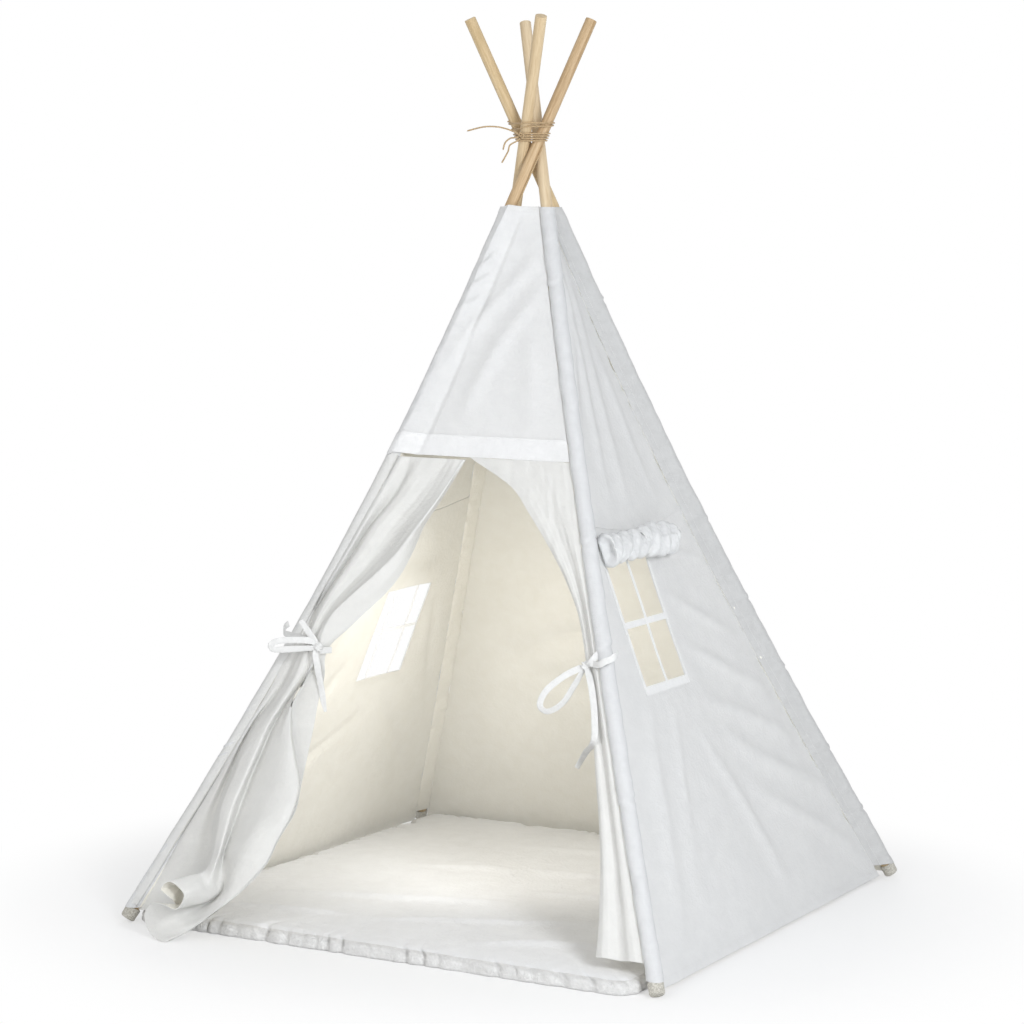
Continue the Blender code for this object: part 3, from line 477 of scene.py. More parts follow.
def curvePoint(before, a, b, after, t):
    rise, turn = 2 * before - 5 * a + 4 * b - after, 3 * a - 3 * b + after - before
    return 0.5 * (2 * a + (b - before) * t + rise * t**2 + turn * t**3)


def smoothRoute(points, perSpan):
    padded = [points[0], *points, points[-1]]
    spans = range(len(points) - 1)
    return [curvePoint(*padded[i : i + 4], k / perSpan) for i in spans for k in range(perSpan)] + [points[-1]]


def runLengths(points):
    lengths = [0.0]
    for a, b in zip(points, points[1:]):
        lengths.append(lengths[-1] + (b - a).length)
    return lengths


def evenly(points, count):
    lengths, found, at = runLengths(points), [], 0
    for k in range(count + 1):
        wanted = lengths[-1] * k / count
        while at < len(points) - 2 and lengths[at + 1] < wanted:
            at += 1
        share = (wanted - lengths[at]) / max(lengths[at + 1] - lengths[at], 1e-9)
        found.append(points[at].lerp(points[at + 1], min(1, share)))
    return found


# Closed bodies: rings of points joined into a skin; uvAt and slotAt take the ring's number and the place round it


def loft(mesh, rings, uvAt=None, slotAt=None):
    layer = mesh.loops.layers.uv.new("weave") if uvAt else None
    for i, (first, second) in enumerate(zip(rings, rings[1:])):
        count = max(len(first), len(second))
        for k in range(count):
            n = (k + 1) % count
            around = (first[k % len(first)], first[n % len(first)], second[n % len(second)], second[k % len(second)])
            face = mesh.faces.new(list(dict.fromkeys(around)))
            face.smooth = True
            if slotAt:
                face.material_index = slotAt(i, k)
            if uvAt:
                for loop, spot in zip(face.loops, ((i, k), (i, k + 1), (i + 1, k + 1), (i + 1, k))):
                    loop[layer].uv = uvAt(*spot)


def mapCloth(mesh, uvOf):
    layer = mesh.loops.layers.uv.new("weave")
    for face in mesh.faces:
        for loop in face.loops:
            loop[layer].uv = uvOf(loop.vert.co)


def finishMesh(name, mesh, materials, sharp=None):
    bmesh.ops.recalc_face_normals(mesh, faces=mesh.faces)
    data = bpy.data.meshes.new(name)
    mesh.to_mesh(data)
    mesh.free()
    for material in materials:
        data.materials.append(material)
    if sharp:
        data.set_sharp_from_angle(angle=math.radians(sharp))
    return addObject(name, data)


# Cloth: a slab about a grid of points, in one piece or in two halves that meet without a rim


def gridNormals(grid):
    normals = np.cross(np.gradient(grid, axis=0), np.gradient(grid, axis=1))
    return normals / np.maximum(np.linalg.norm(normals, axis=2, keepdims=True), 1e-12)


def flatMap(grid):
    across = np.linalg.norm(np.diff(grid, axis=1), axis=2)
    along = np.linalg.norm(np.diff(grid, axis=0), axis=2)
    u = np.concatenate([np.zeros((grid.shape[0], 1)), np.cumsum(across, axis=1)], axis=1)
    u -= u[:, u.shape[1] // 2][:, None]
    v = np.concatenate([np.zeros((1, grid.shape[1])), np.cumsum(along, axis=0)], axis=0)
    return np.stack([u, -v], axis=2)


def clothSlab(name, grid, thickness, outer, inner, hole=None, normals=None, flat=None):
    rows, columns = grid.shape[:2]
    normals = gridNormals(grid) if normals is None else normals
    flat = flatMap(grid) if flat is None else flat
    count = rows * columns
    filled = np.ones((rows - 1, columns - 1), bool)
    if hole:
        filled[hole[0] : hole[1], hole[2] : hole[3]] = False
    faces, kinds = [], []  # kinds: 0 outside, 1 inside, 2 rim
    index = np.arange(count).reshape(rows, columns)
    for i, j in zip(*np.nonzero(filled)):
        a, b, c, d = index[i, j], index[i + 1, j], index[i + 1, j + 1], index[i, j + 1]
        faces += [(a, b, c, d), (a + count, d + count, c + count, b + count)]
        kinds += [0, 1]
        for near, p, q in (((i - 1, j), a, d), ((i + 1, j), c, b), ((i, j - 1), b, a), ((i, j + 1), d, c)):
            inside = 0 <= near[0] < rows - 1 and 0 <= near[1] < columns - 1
            if not (inside and filled[near]):
                faces.append((p, q, q + count, p + count))
                kinds.append(2)
    mesh = bpy.data.meshes.new(name)
    points = np.concatenate([grid.reshape(-1, 3), (grid - normals * thickness).reshape(-1, 3)])
    mesh.from_pydata(points.tolist(), [], [list(map(int, face)) for face in faces])
    mesh.materials.append(outer)
    mesh.materials.append(inner)
    mesh.polygons.foreach_set("material_index", [int(kind == 1) for kind in kinds])
    mesh.polygons.foreach_set("use_smooth", [kind < 2 for kind in kinds])
    layer = mesh.uv_layers.new(name="weave")
    vertexOf = np.zeros(len(mesh.loops), int)
    mesh.loops.foreach_get("vertex_index", vertexOf)
    layer.data.foreach_set("uv", flat.reshape(-1, 2)[vertexOf % count].astype(np.float32).ravel())
    loopKind = np.repeat(kinds, 4)
    wanted = normals.reshape(-1, 3)[vertexOf % count]
    wanted[loopKind == 1] *= -1
    wanted[loopKind == 2] = 0  # left to the face
    mesh.normals_split_custom_set(wanted.tolist())
    mesh.update()
    if hole:
        used = bmesh.new()
        used.from_mesh(mesh)
        bmesh.ops.delete(used, geom=[v for v in used.verts if not v.link_faces], context="VERTS")
        used.to_mesh(mesh)
        used.free()
    return addObject(name, mesh)


sheetFacts = {"leastWidth": 0.01, "leastShare": 0.32, "narrow": 0.9}


def declareCloth(piece):
    mesh = piece.data
    flat = np.zeros(len(mesh.loops) * 2)
    mesh.uv_layers["weave"].data.foreach_get("uv", flat)
    width, length = np.ptp(flat.reshape(-1, 2), axis=0)
    area = min(sum(face.area for face in mesh.polygons) / 2, width * length)
    while area < sheetFacts["leastShare"] * width * length:
        width *= sheetFacts["narrow"]


bendHeights = (1.4, 0.3)


def bendWith(piece, wall, corner):
    high, low = bendHeights
    tuple(poleAt(corner, low))
    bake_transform(piece)
    for vertex in piece.data.vertices:
        share, split = wall.shareOf(vertex.co), wall.splitShare(vertex.co.z)
        if corner == wall.end:
            share, split = 1 - share, 1 - split


def halves(name, node, grid, splitAt, wall, looks, hole=None):
    grid = np.array(grid)
    normals, flat = gridNormals(grid), flatMap(grid)
    for corner, part in ((wall.start, slice(0, splitAt + 1)), (wall.end, slice(splitAt, None))):
        cut = None
        if hole:
            first = part.start or 0
            width = grid[:, part].shape[1] - 1
            left, right = hole[2] - first, hole[3] - first
            if left < width and right > 0:
                cut = (hole[0], hole[1], max(0, left), min(width, right))
        piece = clothSlab(
            f"{name}_{corner}", grid[:, part], shape["cloth"], *looks, cut, normals[:, part], flat[:, part]
        )
        bendWith(piece, wall, corner)
        declareCloth(piece)
        if corner == wall.start:
            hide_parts(node)


# Cover: relief of each wall, in metres outwards; x runs along the wall from its middle

reliefs = {
    "right": {
        "lines": [
            (-0.015, 1.42, -0.10, 0.86, 0.014, 0.0030),
            (0.010, 1.40, -0.02, 0.84, 0.018, 0.0026),
            (-0.02, 1.30, -0.20, 0.90, 0.012, 0.0022),
            (0.03, 1.20, 0.12, 0.84, 0.016, 0.0018),
            (-0.22, 0.48, -0.44, 0.04, 0.020, 0.0040),
            (-0.12, 0.47, -0.30, 0.10, 0.016, 0.0028),
            (0.02, 0.66, 0.28, 0.56, 0.014, 0.0026),
            (0.02, 0.56, 0.33, 0.44, 0.016, 0.0032),
            (-0.02, 0.47, 0.38, 0.33, 0.018, 0.0034),
            (0.06, 0.38, 0.46, 0.20, 0.020, 0.0040),
            (0.10, 0.28, 0.50, 0.06, 0.022, 0.0036),
            (-0.04, 0.42, 0.12, 0.05, 0.022, 0.0028),
            (-0.02, 0.77, 0.24, 0.72, 0.010, 0.0020),
        ],
        "seed": 1,
    },
    "left": {
        "lines": [
            (0.02, 1.40, 0.10, 0.86, 0.016, 0.0030),
            (-0.20, 0.60, -0.40, 0.30, 0.018, 0.0034),
            (0.10, 0.50, 0.44, 0.08, 0.020, 0.0040),
            (-0.10, 0.40, -0.42, 0.12, 0.020, 0.0040),
            (-0.05, 0.36, 0.30, 0.18, 0.016, 0.0026),
            (0.06, 0.62, 0.24, 0.56, 0.012, 0.0022),
        ],
        "seed": 2,
    },
    "back": {
        "lines": [
            (0.0, 1.38, 0.10, 0.50, 0.022, 0.0036),
            (-0.05, 1.20, -0.25, 0.40, 0.022, 0.0034),
            (-0.20, 0.60, 0.30, 0.42, 0.026, 0.0040),
            (0.25, 0.42, -0.42, 0.20, 0.030, 0.0040),
            (-0.42, 0.30, 0.10, 0.05, 0.020, 0.0030),
        ],
        "seed": 3,
    },
    "front": {
        "lines": [
            (0.035, 1.36, -0.14, 1.10, 0.016, 0.0030),
            (0.060, 1.30, -0.08, 1.02, 0.020, 0.0030),
            (0.02, 1.25, 0.12, 1.00, 0.022, 0.0018),
            (-0.075, 1.33, -0.045, 1.355, 0.006, 0.0036),
            (-0.095, 1.285, -0.050, 1.315, 0.006, 0.0030),
            (-0.105, 1.245, -0.065, 1.27, 0.006, 0.0026),
        ],
        "seed": 4,
    },
}
reliefFacts = {
    "broad": (0.0050, 0.22),
    "broadFade": 0.06,
    "fine": (0.0020, 0.07),
    "pucker": (0.0026, 0.015),
    "puckerReach": 0.016,
    "hemLift": 0.0010,
    "hemPucker": (0.0014, 0.02),
    "hemReach": (0.02, 0.06),
    "frontLift": 0.0008,
}


def relief(wall, x, z):
    seed, facts = reliefs[wall.key]["seed"], reliefFacts
    half = wall.half(z)
    edge = min(x + half, half - x)
    broad, broadSize = facts["broad"]
    fine, fineSize = facts["fine"]
    pucker, puckerSize = facts["pucker"]
    height = crease(x, z, reliefs[wall.key]["lines"])
    height += broad * ripple(x, z * 0.5, seed, broadSize) * smooth(0, facts["broadFade"], edge)
    height += fine * ripple(x + 0.4 * z, z * 0.7, seed + 5, fineSize)
    fade = math.exp(-max(0, edge) / facts["puckerReach"])
    height += pucker * fade * ripple(z, x * 0.2, seed + 9, puckerSize)
    if wall.key == "front":
        return height + facts["frontLift"]
    if z < 0.10:  # the stitched hem's band
        pucker, puckerSize = facts["hemPucker"]
        height += facts["hemLift"] * (1 - smooth(*shape["hemBand"], z))
        height += pucker * ripple(x, z, seed + 11, puckerSize) * (1 - smooth(*facts["hemReach"], z))
    return height


def sideSeam(share):
    return shape["sideSeam"] - shape["seamSag"] * math.sin(math.pi * share)


def wallGrid(wall, top, bottom, places, shares):
    grid = []
    for t in places:
        grid.append([wall.onShare(share, top + (bottom(share) - top) * t) for share in shares])
    return np.array(grid)


windows = {
    "width": 0.195,
    "border": 0.009,
    "sill": 0.017,
    # each side: place along the wall, sill height, height, and the level tape's share of it
    "right": (-0.112, 0.51005, 0.262, 0.45),
    "left": (-0.066, 0.43305, 0.200, 0.53),
    # widths of the level and the upright tapes, and where the uprights stand
    "tapes": {"right": (0.0125, 0.009, {"": 0.0}), "left": (0.006, 0.006, {"": -0.5, "_front": 0.5})},
    "tapeShort": 0.0005,
    "steps": (0.008, 0.004),
    # how far each cloth lies off the wall, and its thickness
    "borderCloth": (0.0003, 0.0011),
    "levelCloth": (0.0003, 0.0010),
    "uprightCloth": (0.0016, 0.0010),
}
panels = {
    "step": 0.009,
    "upperStep": 0.0095,
    "upperHeight": 0.65,
    "seamLift": 0.0019,
    "seamFrom": (0.985, 0.99),
    "lowerBand": (0.010, 0.012),
    "lowerLift": 0.0009,
    "strip": (0.05, 0.03),  # the usual and the least height between seam and window
}


def sidePanels(wall):
    shift, sill, tall, tapeShare = windows[wall.key]
    head, seamZ, step = sill + tall, shape["sideSeam"], panels["step"]
    half0 = wall.half(seamZ)
    looks = (canvasOut, canvasIn)
    splitShare = wall.splitShare(seamZ)
    shares = spread([0, splitShare, 1], step / (2 * half0))
    places = spread([0, 0.010, 0.012, 0.97, 1], step / panels["upperHeight"])
    upper = wallGrid(wall, shape["collar"], sideSeam, places, shares)
    band = np.array([panels["seamLift"] * smooth(*panels["seamFrom"], t) for t in places])[:, None, None]
    upper += gridNormals(upper) * band
    halves(f"{wall.key}UpperPanel", f"{wall.key}_upper_panel", upper, nearest(shares, splitShare), wall, looks)

    marks = (shift - windows["width"] / 2, shift + windows["width"] / 2, wall.split)
    stops = (-half0 * 1.5, *marks, half0 * 1.5)
    counts = [max(2, round((far - near) / panels["upperStep"])) for near, far in zip(stops, stops[1:])]

    def shiftsAt(z):
        half = wall.half(z)
        found = [-half]
        for near, far, count in zip((-half, *marks), (*marks, half), counts):
            found += [near + (far - near) * k / count for k in range(1, count + 1)]
        return found

    grid = []
    narrow, wide = panels["lowerBand"]
    usual, least = panels["strip"]
    for t in spread([0, narrow / usual, wide / usual, 1], step / max(sideSeam(0.5) - head, least))[:-1]:
        line = []
        for x in shiftsAt(seamZ):
            share = (x + half0) / (2 * half0)
            top = sideSeam(share) - shape["seamGap"]
            z = top + (head - top) * t
            at = shiftsAt(z)[len(line)] * t + (share * 2 - 1) * wall.half(z) * (1 - t)
            line.append(wall.onCloth(at, z, panels["lowerLift"] * (1 - smooth(narrow, wide, top - z))))
        grid.append(line)
    levels = spread([head, sill], step)
    hole = (len(grid), len(grid) + len(levels) - 1, counts[0], counts[0] + counts[1])
    for z in levels[:-1] + spread([sill, *shape["hemBand"][::-1], shape["hem"]], step):
        grid.append([wall.onCloth(x, z) for x in shiftsAt(z)])
    halves(f"{wall.key}LowerPanel", f"{wall.key}_lower_panel", grid, sum(counts[:3]), wall, looks, hole)


backFacts = {"columns": 0.0085, "rows": 0.0068, "marks": (0, 0.012, 0.985, 0.9865, 1)}


def backPanel():
    shares = spread([0, 0.5, 1], backFacts["columns"])
    places = spread(backFacts["marks"], backFacts["rows"])
    grid = wallGrid(backWall, shape["collar"], lambda share: shape["hem"], places, shares)
    halves("backPanel", "back_panel", grid, nearest(shares, 0.5), backWall, (canvasOut, canvasIn))


sidePanels(rightWall)
sidePanels(leftWall)
backPanel()
print("side and back panels made")

# Stitches: a node tree sets a short thread every few millimetres along each sewn row

stitchFacts = {"Spacing": 0.0045, "Length": 0.0031, "Width": 0.0008}
stitchVaries = (0.82, 1.06, 5)  # least and greatest share of the length, and the seed
stitchLift = 0.0003


def makeStitchTree():
    tree = bpy.data.node_groups.new("stitchRows", "GeometryNodeTree")
    kinds = {"Geometry": "Geometry", **dict.fromkeys(stitchFacts, "Float"), "Thread": "Material"}
    for label, kind in kinds.items():
        tree.interface.new_socket(name=label, in_out="INPUT", socket_type=f"NodeSocket{kind}")
    tree.interface.new_socket(name="Geometry", in_out="OUTPUT", socket_type="NodeSocketGeometry")
    given = tree.nodes.new("NodeGroupInput").outputs
    curve = addNode(tree, "GeometryNodeMeshToCurve", {0: given["Geometry"]}).outputs[0]
    spaced = {"Curve": curve, "Length": given["Spacing"]}
    even = addNode(tree, "GeometryNodeResampleCurve", spaced, mode="LENGTH").outputs[0]
    ball = addNode(tree, "GeometryNodeMeshUVSphere", {"Segments": 6, "Rings": 4, "Radius": 0.5}).outputs["Mesh"]
    vary = tree.nodes.new("FunctionNodeRandomValue")
    used = [socket for socket in vary.inputs if socket.enabled and socket.name in ("Min", "Max", "Seed")]
    for socket, value in zip(used, stitchVaries):
        socket.default_value = value
    varied = next(socket for socket in vary.outputs if socket.enabled)
    length = calc(tree, "MULTIPLY", given["Length"], varied)
    size = addNode(tree, "ShaderNodeCombineXYZ", {0: given["Width"], 1: given["Width"], 2: length}).outputs[0]
    way = tree.nodes.new("GeometryNodeInputTangent").outputs[0]
    turn = addNode(tree, "FunctionNodeAlignRotationToVector", {"Vector": way}, axis="Z").outputs[0]
    threads = {"Points": even, "Instance": ball, "Rotation": turn, "Scale": size}
    placed = addNode(tree, "GeometryNodeInstanceOnPoints", threads).outputs[0]
    real = addNode(tree, "GeometryNodeRealizeInstances", {0: placed}).outputs[0]
    sewn = addNode(tree, "GeometryNodeSetMaterial", {"Geometry": real, "Material": given["Thread"]}).outputs[0]
    wire(tree, sewn, tree.nodes.new("NodeGroupOutput").inputs[0])
    return tree


stitchTree = makeStitchTree()
stitchSockets = {item.name: item.identifier for item in stitchTree.interface.items_tree if item.in_out == "INPUT"}


def sew(name, rows):
    mesh = bpy.data.meshes.new(name)
    points, edges = [], []
    for row in rows:
        edges += [(len(points) + k, len(points) + k + 1) for k in range(len(row) - 1)]
        points += [tuple(p) for p in row]
    mesh.from_pydata(points, edges, [])
    guide = addObject(f"{name}Guide", mesh)
    modifier = guide.modifiers.new("stitches", "NODES")
    modifier.node_group = stitchTree
    for label, value in {**stitchFacts, "Thread": threadCotton}.items():
        modifier[stitchSockets[label]] = value
    sewn = bpy.data.meshes.new_from_object(guide.evaluated_get(bpy.context.evaluated_depsgraph_get()))
    guide.modifiers.remove(modifier)
    bpy.data.objects.remove(guide)
    sewn.polygons.foreach_set("use_smooth", [True] * len(sewn.polygons))
    return addObject(name, sewn)


def sewWall(wall, rows):
    made = {wall.start: [], wall.end: []}
    for row in rows:
        runs, last = [], None
        for point in row:
            point = Vector(point)
            corner = wall.start if wall.shareOf(point) < wall.splitShare(point.z) else wall.end
            if corner != last:
                runs.append((corner, []))
                last = corner
            runs[-1][1].append(point)
        for corner, run in runs:
            if len(run) > 2:
                made[corner].append(run)
    for corner, found in made.items():
        if found:
            piece = sew(f"{wall.key}Stitches_{corner}", found)
            bendWith(piece, wall, corner)


seams = {
    "hem": 0.0222,
    "hemReach": (0.02, 0.004),  # the height that its half width is taken at, and how far it stops short
    "count": 150,
    "side": ((0.004, 0.0007), (0.009, 0.0)),  # height over the side seam, and lift
    "sideShares": (0.02, 0.98),
    "collar": 0.0105,
    "collarShort": 0.002,
    "collarCount": 20,
    "window": {"out": 0.0058, "in": 0.002, "up": 0.003, "lift": 0.0014, "step": 0.006},
}


def hemRow(wall):
    height, short = seams["hemReach"]
    reach = wall.half(height) - short
    return [wall.onCloth(x, seams["hem"], stitchLift) for x in np.linspace(-reach, reach, seams["count"])]


def wallRows(wall):
    rows = [hemRow(wall)]
    for above, lift in seams["side"]:
        shares = np.linspace(*seams["sideShares"], seams["count"])
        rows.append([wall.onShare(share, sideSeam(share) + above, stitchLift + lift) for share in shares])
    z = shape["collar"] - seams["collar"]
    reach = wall.half(z) - seams["collarShort"]
    return rows + [[wall.onCloth(x, z, stitchLift) for x in np.linspace(-reach, reach, seams["collarCount"])]]


def windowRows(wall):
    facts, half = seams["window"], windows["width"] / 2
    shift, sill, tall, tapeShare = windows[wall.key]
    head, low, under = sill + tall, sill - windows["sill"] + facts["up"], sill - facts["up"]
    left, right = shift - half - facts["out"], shift + half + facts["out"]
    path = []
    for (x0, z0), (x1, z1) in (
        ((left, head), (left, low)),
        ((left, low), (right, low)),
        ((right, low), (right, head)),
        ((shift - half + facts["in"], under), (shift + half - facts["in"], under)),
    ):
        count = max(4, int(math.hypot(x1 - x0, z1 - z0) / facts["step"]))
        line = [(x0 + (x1 - x0) * k / count, z0 + (z1 - z0) * k / count) for k in range(count + 1)]
        path.append([wall.onCloth(x, z, stitchLift + facts["lift"]) for x, z in line])
    return path


for wall in (rightWall, leftWall):
    sewWall(wall, wallRows(wall) + windowRows(wall))
sewWall(backWall, [hemRow(backWall)])
print("wall stitches made")

# Front: the cloth runs on over the left sleeve, so its first columns wrap round the pole

front = {
    "wrap": 0.040,
    "wraps": 9,
    "wrapPush": 0.3,
    "wrapOut": 0.12,
    "overSleeve": 0.0176,
    "valley": (0.032, 0.052),
    "valleyStart": -0.004,
    "dip": (0.0030, 0.006),
    "dipFade": 0.05,
    "columns": 84,
    "step": 0.0075,
    "band": (0.0135, 0.012),  # below the collar
    "bandLift": 0.0018,
    "upperRipple": (0.003, 4, 0.03),
    "headerStep": 0.0035,
    "headerOver": 0.006,
    "headerLift": 0.0022,
    "headerPush": 0.004,
    "stitches": 110,
    "stitchUp": 0.003,
}
wraps = [front["wrap"] * (1 - k / front["wraps"]) for k in range(front["wraps"])]


def frontPoint(share, z, push=0.0, wrap=0.0):
    normal, half = frontWall.frame(z)[3:]
    radius = front["overSleeve"]
    if wrap > 0:  # length round the left pole from its front
        way, out = level(math.radians(-90) - wrap / radius), outward("front_left")
        way += out * way.dot(out) * front["wrapOut"]
        return poleAt("front_left", z) + way * (radius + push * front["wrapPush"])
    x = share * 2 * half + shape["frontGap"]
    high, low = front["valley"]
    valley = high + (low - high) * (shape["collar"] - z) / (shape["collar"] - shape["headerTop"])
    bulge = (radius - shape["frontOut"]) * (1 - smooth(front["valleyStart"], valley, x))
    if z > shape["headerBottom"]:
        dip, width = front["dip"]
        bulge -= dip * bell(x - valley, width) * smooth(0, front["dipFade"], shape["collar"] - z)
    return frontWall.at(share, z, push) + normal * bulge


def frontLine(z, count, lift):
    half = frontWall.half(z)
    start = -shape["frontGap"] / (2 * half)
    shares = [start + (1 - start) * k / count for k in range(count + 1)]
    return [frontPoint(share, z, relief(frontWall, (share - 0.5) * 2 * half, z) + lift) for share in shares]


def makeFront():
    collar, top, bottom = shape["collar"], shape["headerTop"], shape["headerBottom"]
    low, high = (collar - below for below in front["band"])
    columns, splitAt = front["columns"], len(wraps) + front["columns"] // 2
    depth, seed, scale = front["upperRipple"]
    grid = []
    for z in spread([collar, high, low, top], front["step"]):
        band = front["bandLift"] * smooth(low, high, z)
        lead = [frontPoint(0, z, depth * ripple(z, wrap, seed, scale) + band, wrap) for wrap in wraps]
        grid.append(lead + frontLine(z, columns, band))
    halves("frontUpperPanel", "front_upper_panel", grid, splitAt, frontWall, (canvasOut, canvasIn))

    grid = []
    for z in spread([top + front["headerOver"], bottom], front["headerStep"]):
        lead = [frontPoint(0, z, front["headerPush"], wrap) for wrap in wraps]
        grid.append(lead + frontLine(z, columns, front["headerLift"]))
    halves("doorHeader", "door_header", grid, splitAt, frontWall, (canvasHeader, canvasThickIn))

    rows = [(collar - seams["collar"], front["bandLift"])]
    rows += [(z + front["stitchUp"], front["headerLift"]) for z in (top, bottom)]
    sewWall(frontWall, [frontLine(z, front["stitches"], lift + stitchLift) for z, lift in rows])


makeFront()
print("front panel made")

# Door flaps: the left one drawn from its fold lines, the right one from a table of how it hangs

flaps = {
    "left": {
        "between": (7, 9),
        "wrapRipple": (0.003, 6, 0.04),
        "ripple": (0.0016, 22, 0.03),
        # millimetres: a row's height, then x and y where it crosses each fold line, from the pole to the free edge
        "levels": (
            (944, -192, -227, -169, -228, -150, -223, -128, -225, -114, -224, -97, -222, -79, -220, -65, -219, -52,
             -220, -40, -220, -30, -219, -27, -218, -25, -216),
            (905, -204, -241, -182, -246, -161, -233, -143, -243, -128, -244, -112, -241, -96, -238, -81, -238, -67,
             -241, -53, -245, -42, -247, -40, -241, -40, -234),
            (860, -221, -259, -199, -268, -181, -248, -165, -265, -150, -268, -134, -264, -119, -258, -104, -259, -88,
             -265, -72, -273, -60, -278, -58, -268, -60, -255),
            (810, -240, -279, -220, -290, -212, -272, -197, -291, -180, -294, -165, -288, -150, -281, -133, -283,
             -115, -292, -97, -304, -83, -311, -80, -298, -83, -281),
            (760, -259, -298, -241, -311, -235, -295, -219, -315, -203, -319, -189, -312, -176, -304, -160, -308,
             -142, -318, -124, -331, -110, -340, -98, -325, -94, -306),
            (715, -276, -316, -261, -329, -256, -315, -240, -337, -225, -342, -215, -334, -203, -327, -189, -331,
             -174, -342, -158, -356, -146, -364, -122, -349, -108, -329),
            (675, -291, -332, -281, -345, -277, -332, -260, -356, -248, -362, -240, -355, -232, -349, -220, -354,
             -208, -364, -196, -374, -187, -382, -156, -367, -134, -349),
            (635, -305, -348, -297, -360, -294, -351, -277, -373, -267, -380, -262, -375, -257, -372, -248, -377,
             -239, -384, -231, -390, -225, -395, -195, -382, -170, -369),
            (600, -318, -363, -309, -373, -303, -367, -286, -387, -278, -394, -273, -392, -269, -389, -262, -393,
             -254, -399, -248, -402, -242, -404, -221, -394, -203, -383),
            (572, -327, -375, -318, -385, -311, -381, -295, -398, -286, -405, -280, -404, -277, -401, -270, -405,
             -261, -409, -255, -410, -248, -411, -239, -403, -232, -392),
            (545, -337, -387, -327, -395, -318, -393, -303, -407, -290, -416, -279, -418, -275, -412, -268, -415,
             -258, -420, -254, -419, -251, -416, -251, -408, -244, -398),
            (505, -364, -403, -342, -410, -328, -409, -313, -425, -296, -438, -281, -442, -275, -429, -271, -433,
             -264, -442, -264, -439, -268, -434, -270, -418, -241, -406),
            (460, -383, -419, -360, -428, -348, -424, -330, -449, -312, -465, -297, -469, -297, -450, -290, -457,
             -276, -470, -275, -469, -281, -461, -290, -436, -245, -421),
            (410, -404, -440, -386, -449, -381, -442, -357, -476, -335, -493, -316, -498, -318, -473, -304, -483,
             -276, -501, -261, -503, -262, -492, -282, -455, -244, -439),
            (360, -426, -461, -406, -471, -403, -462, -371, -505, -347, -522, -325, -527, -330, -498, -313, -508,
             -268, -531, -240, -534, -234, -521, -258, -486, -235, -474),
            (310, -448, -483, -421, -494, -414, -484, -377, -534, -355, -551, -333, -556, -339, -524, -320, -534,
             -260, -561, -218, -565, -206, -550, -228, -522, -223, -514),
            (260, -469, -505, -437, -517, -424, -506, -384, -564, -363, -583, -339, -588, -344, -553, -323, -564,
             -259, -595, -215, -599, -200, -586, -211, -569, -205, -565),
            (210, -491, -528, -452, -538, -427, -531, -377, -595, -354, -615, -336, -619, -345, -585, -327, -595,
             -277, -626, -241, -628, -216, -616, -223, -607, -218, -603),
            (165, -512, -548, -460, -556, -416, -555, -367, -623, -346, -643, -334, -646, -344, -614, -328, -623,
             -286, -649, -254, -650, -228, -641, -233, -634, -228, -630),
        ),
        # millimetres: height at the pole, then x, y and z, where the lowest folds bend over into a roll and a curl
        "bends": (
            (125, -525, -562, 125, -462, -572, 125, -408, -585, 140, -372, -638, 138, -362, -654, 135, -345, -662,
             118, -340, -645, 100, -333, -627, 104, -320, -650, 98, -298, -662, 101, -280, -660, 106, -270, -652, 112,
             -262, -645, 120),
            (95, -535, -574, 93, -462, -590, 90, -400, -630, 118, -386, -668, 124, -371, -680, 134, -345, -690, 113,
             -349, -670, 82, -358, -640, 76, -366, -662, 62, -358, -676, 52, -340, -682, 52, -322, -676, 64, -305,
             -655, 82),
            (62, -550, -588, 58, -460, -600, 58, -395, -680, 100, -399, -702, 116, -378, -708, 133, -348, -713, 110,
             -361, -703, 78, -385, -680, 75, -410, -690, 62, -420, -692, 40, -402, -698, 20, -374, -692, 24, -360,
             -655, 45),
            (31, -562, -602, 26, -455, -612, 30, -388, -722, 88, -409, -735, 111, -386, -735, 131, -352, -735, 108,
             -372, -735, 76, -410, -724, 78, -450, -711, 72, -474, -700, 45, -464, -699, 12, -412, -716, 2, -418,
             -640, 4),
        ),
    },
    "right": {
        # share of the doorway down, width as a share of half the front, shares of the outward push and of the folds
        "rows": (
            (0.000, 1.170, 0.00, 0.00),
            (0.053, 0.680, 0.00, 0.15),
            (0.105, 0.480, -0.10, 0.30),
            (0.160, 0.330, -0.30, 0.45),
            (0.220, 0.210, -0.60, 0.60),
            (0.290, 0.130, -0.90, 0.70),
            (0.350, 0.110, -1.00, 0.70),
            (0.395, 0.105, -1.00, 0.70),
            (0.435, 0.103, -1.00, 0.70),
            (0.470, 0.105, -0.95, 0.70),
            (0.600, 0.115, -0.80, 0.75),
            (0.750, 0.130, -0.60, 0.80),
            (0.870, 0.160, -0.45, 0.80),
            (0.945, 0.185, -0.35, 0.80),
        ),
        "out": 0.024,
        "foldDepth": 0.007,
        "folds": 1.5,
        "columns": 60,
        "steps": 150,
        "fine": 0.0007,
        "fineFolds": 7.3,
        "waist": (0.572, 0.16),
        "ripple": (0.0016, 22, 0.05),
    },
}


def tableRow(rows, t):
    k = min(int(t), len(rows) - 2)
    padded = [rows[0], *rows, rows[-1]]
    return curvePoint(*(np.array(row) for row in padded[k : k + 4]), t - k)


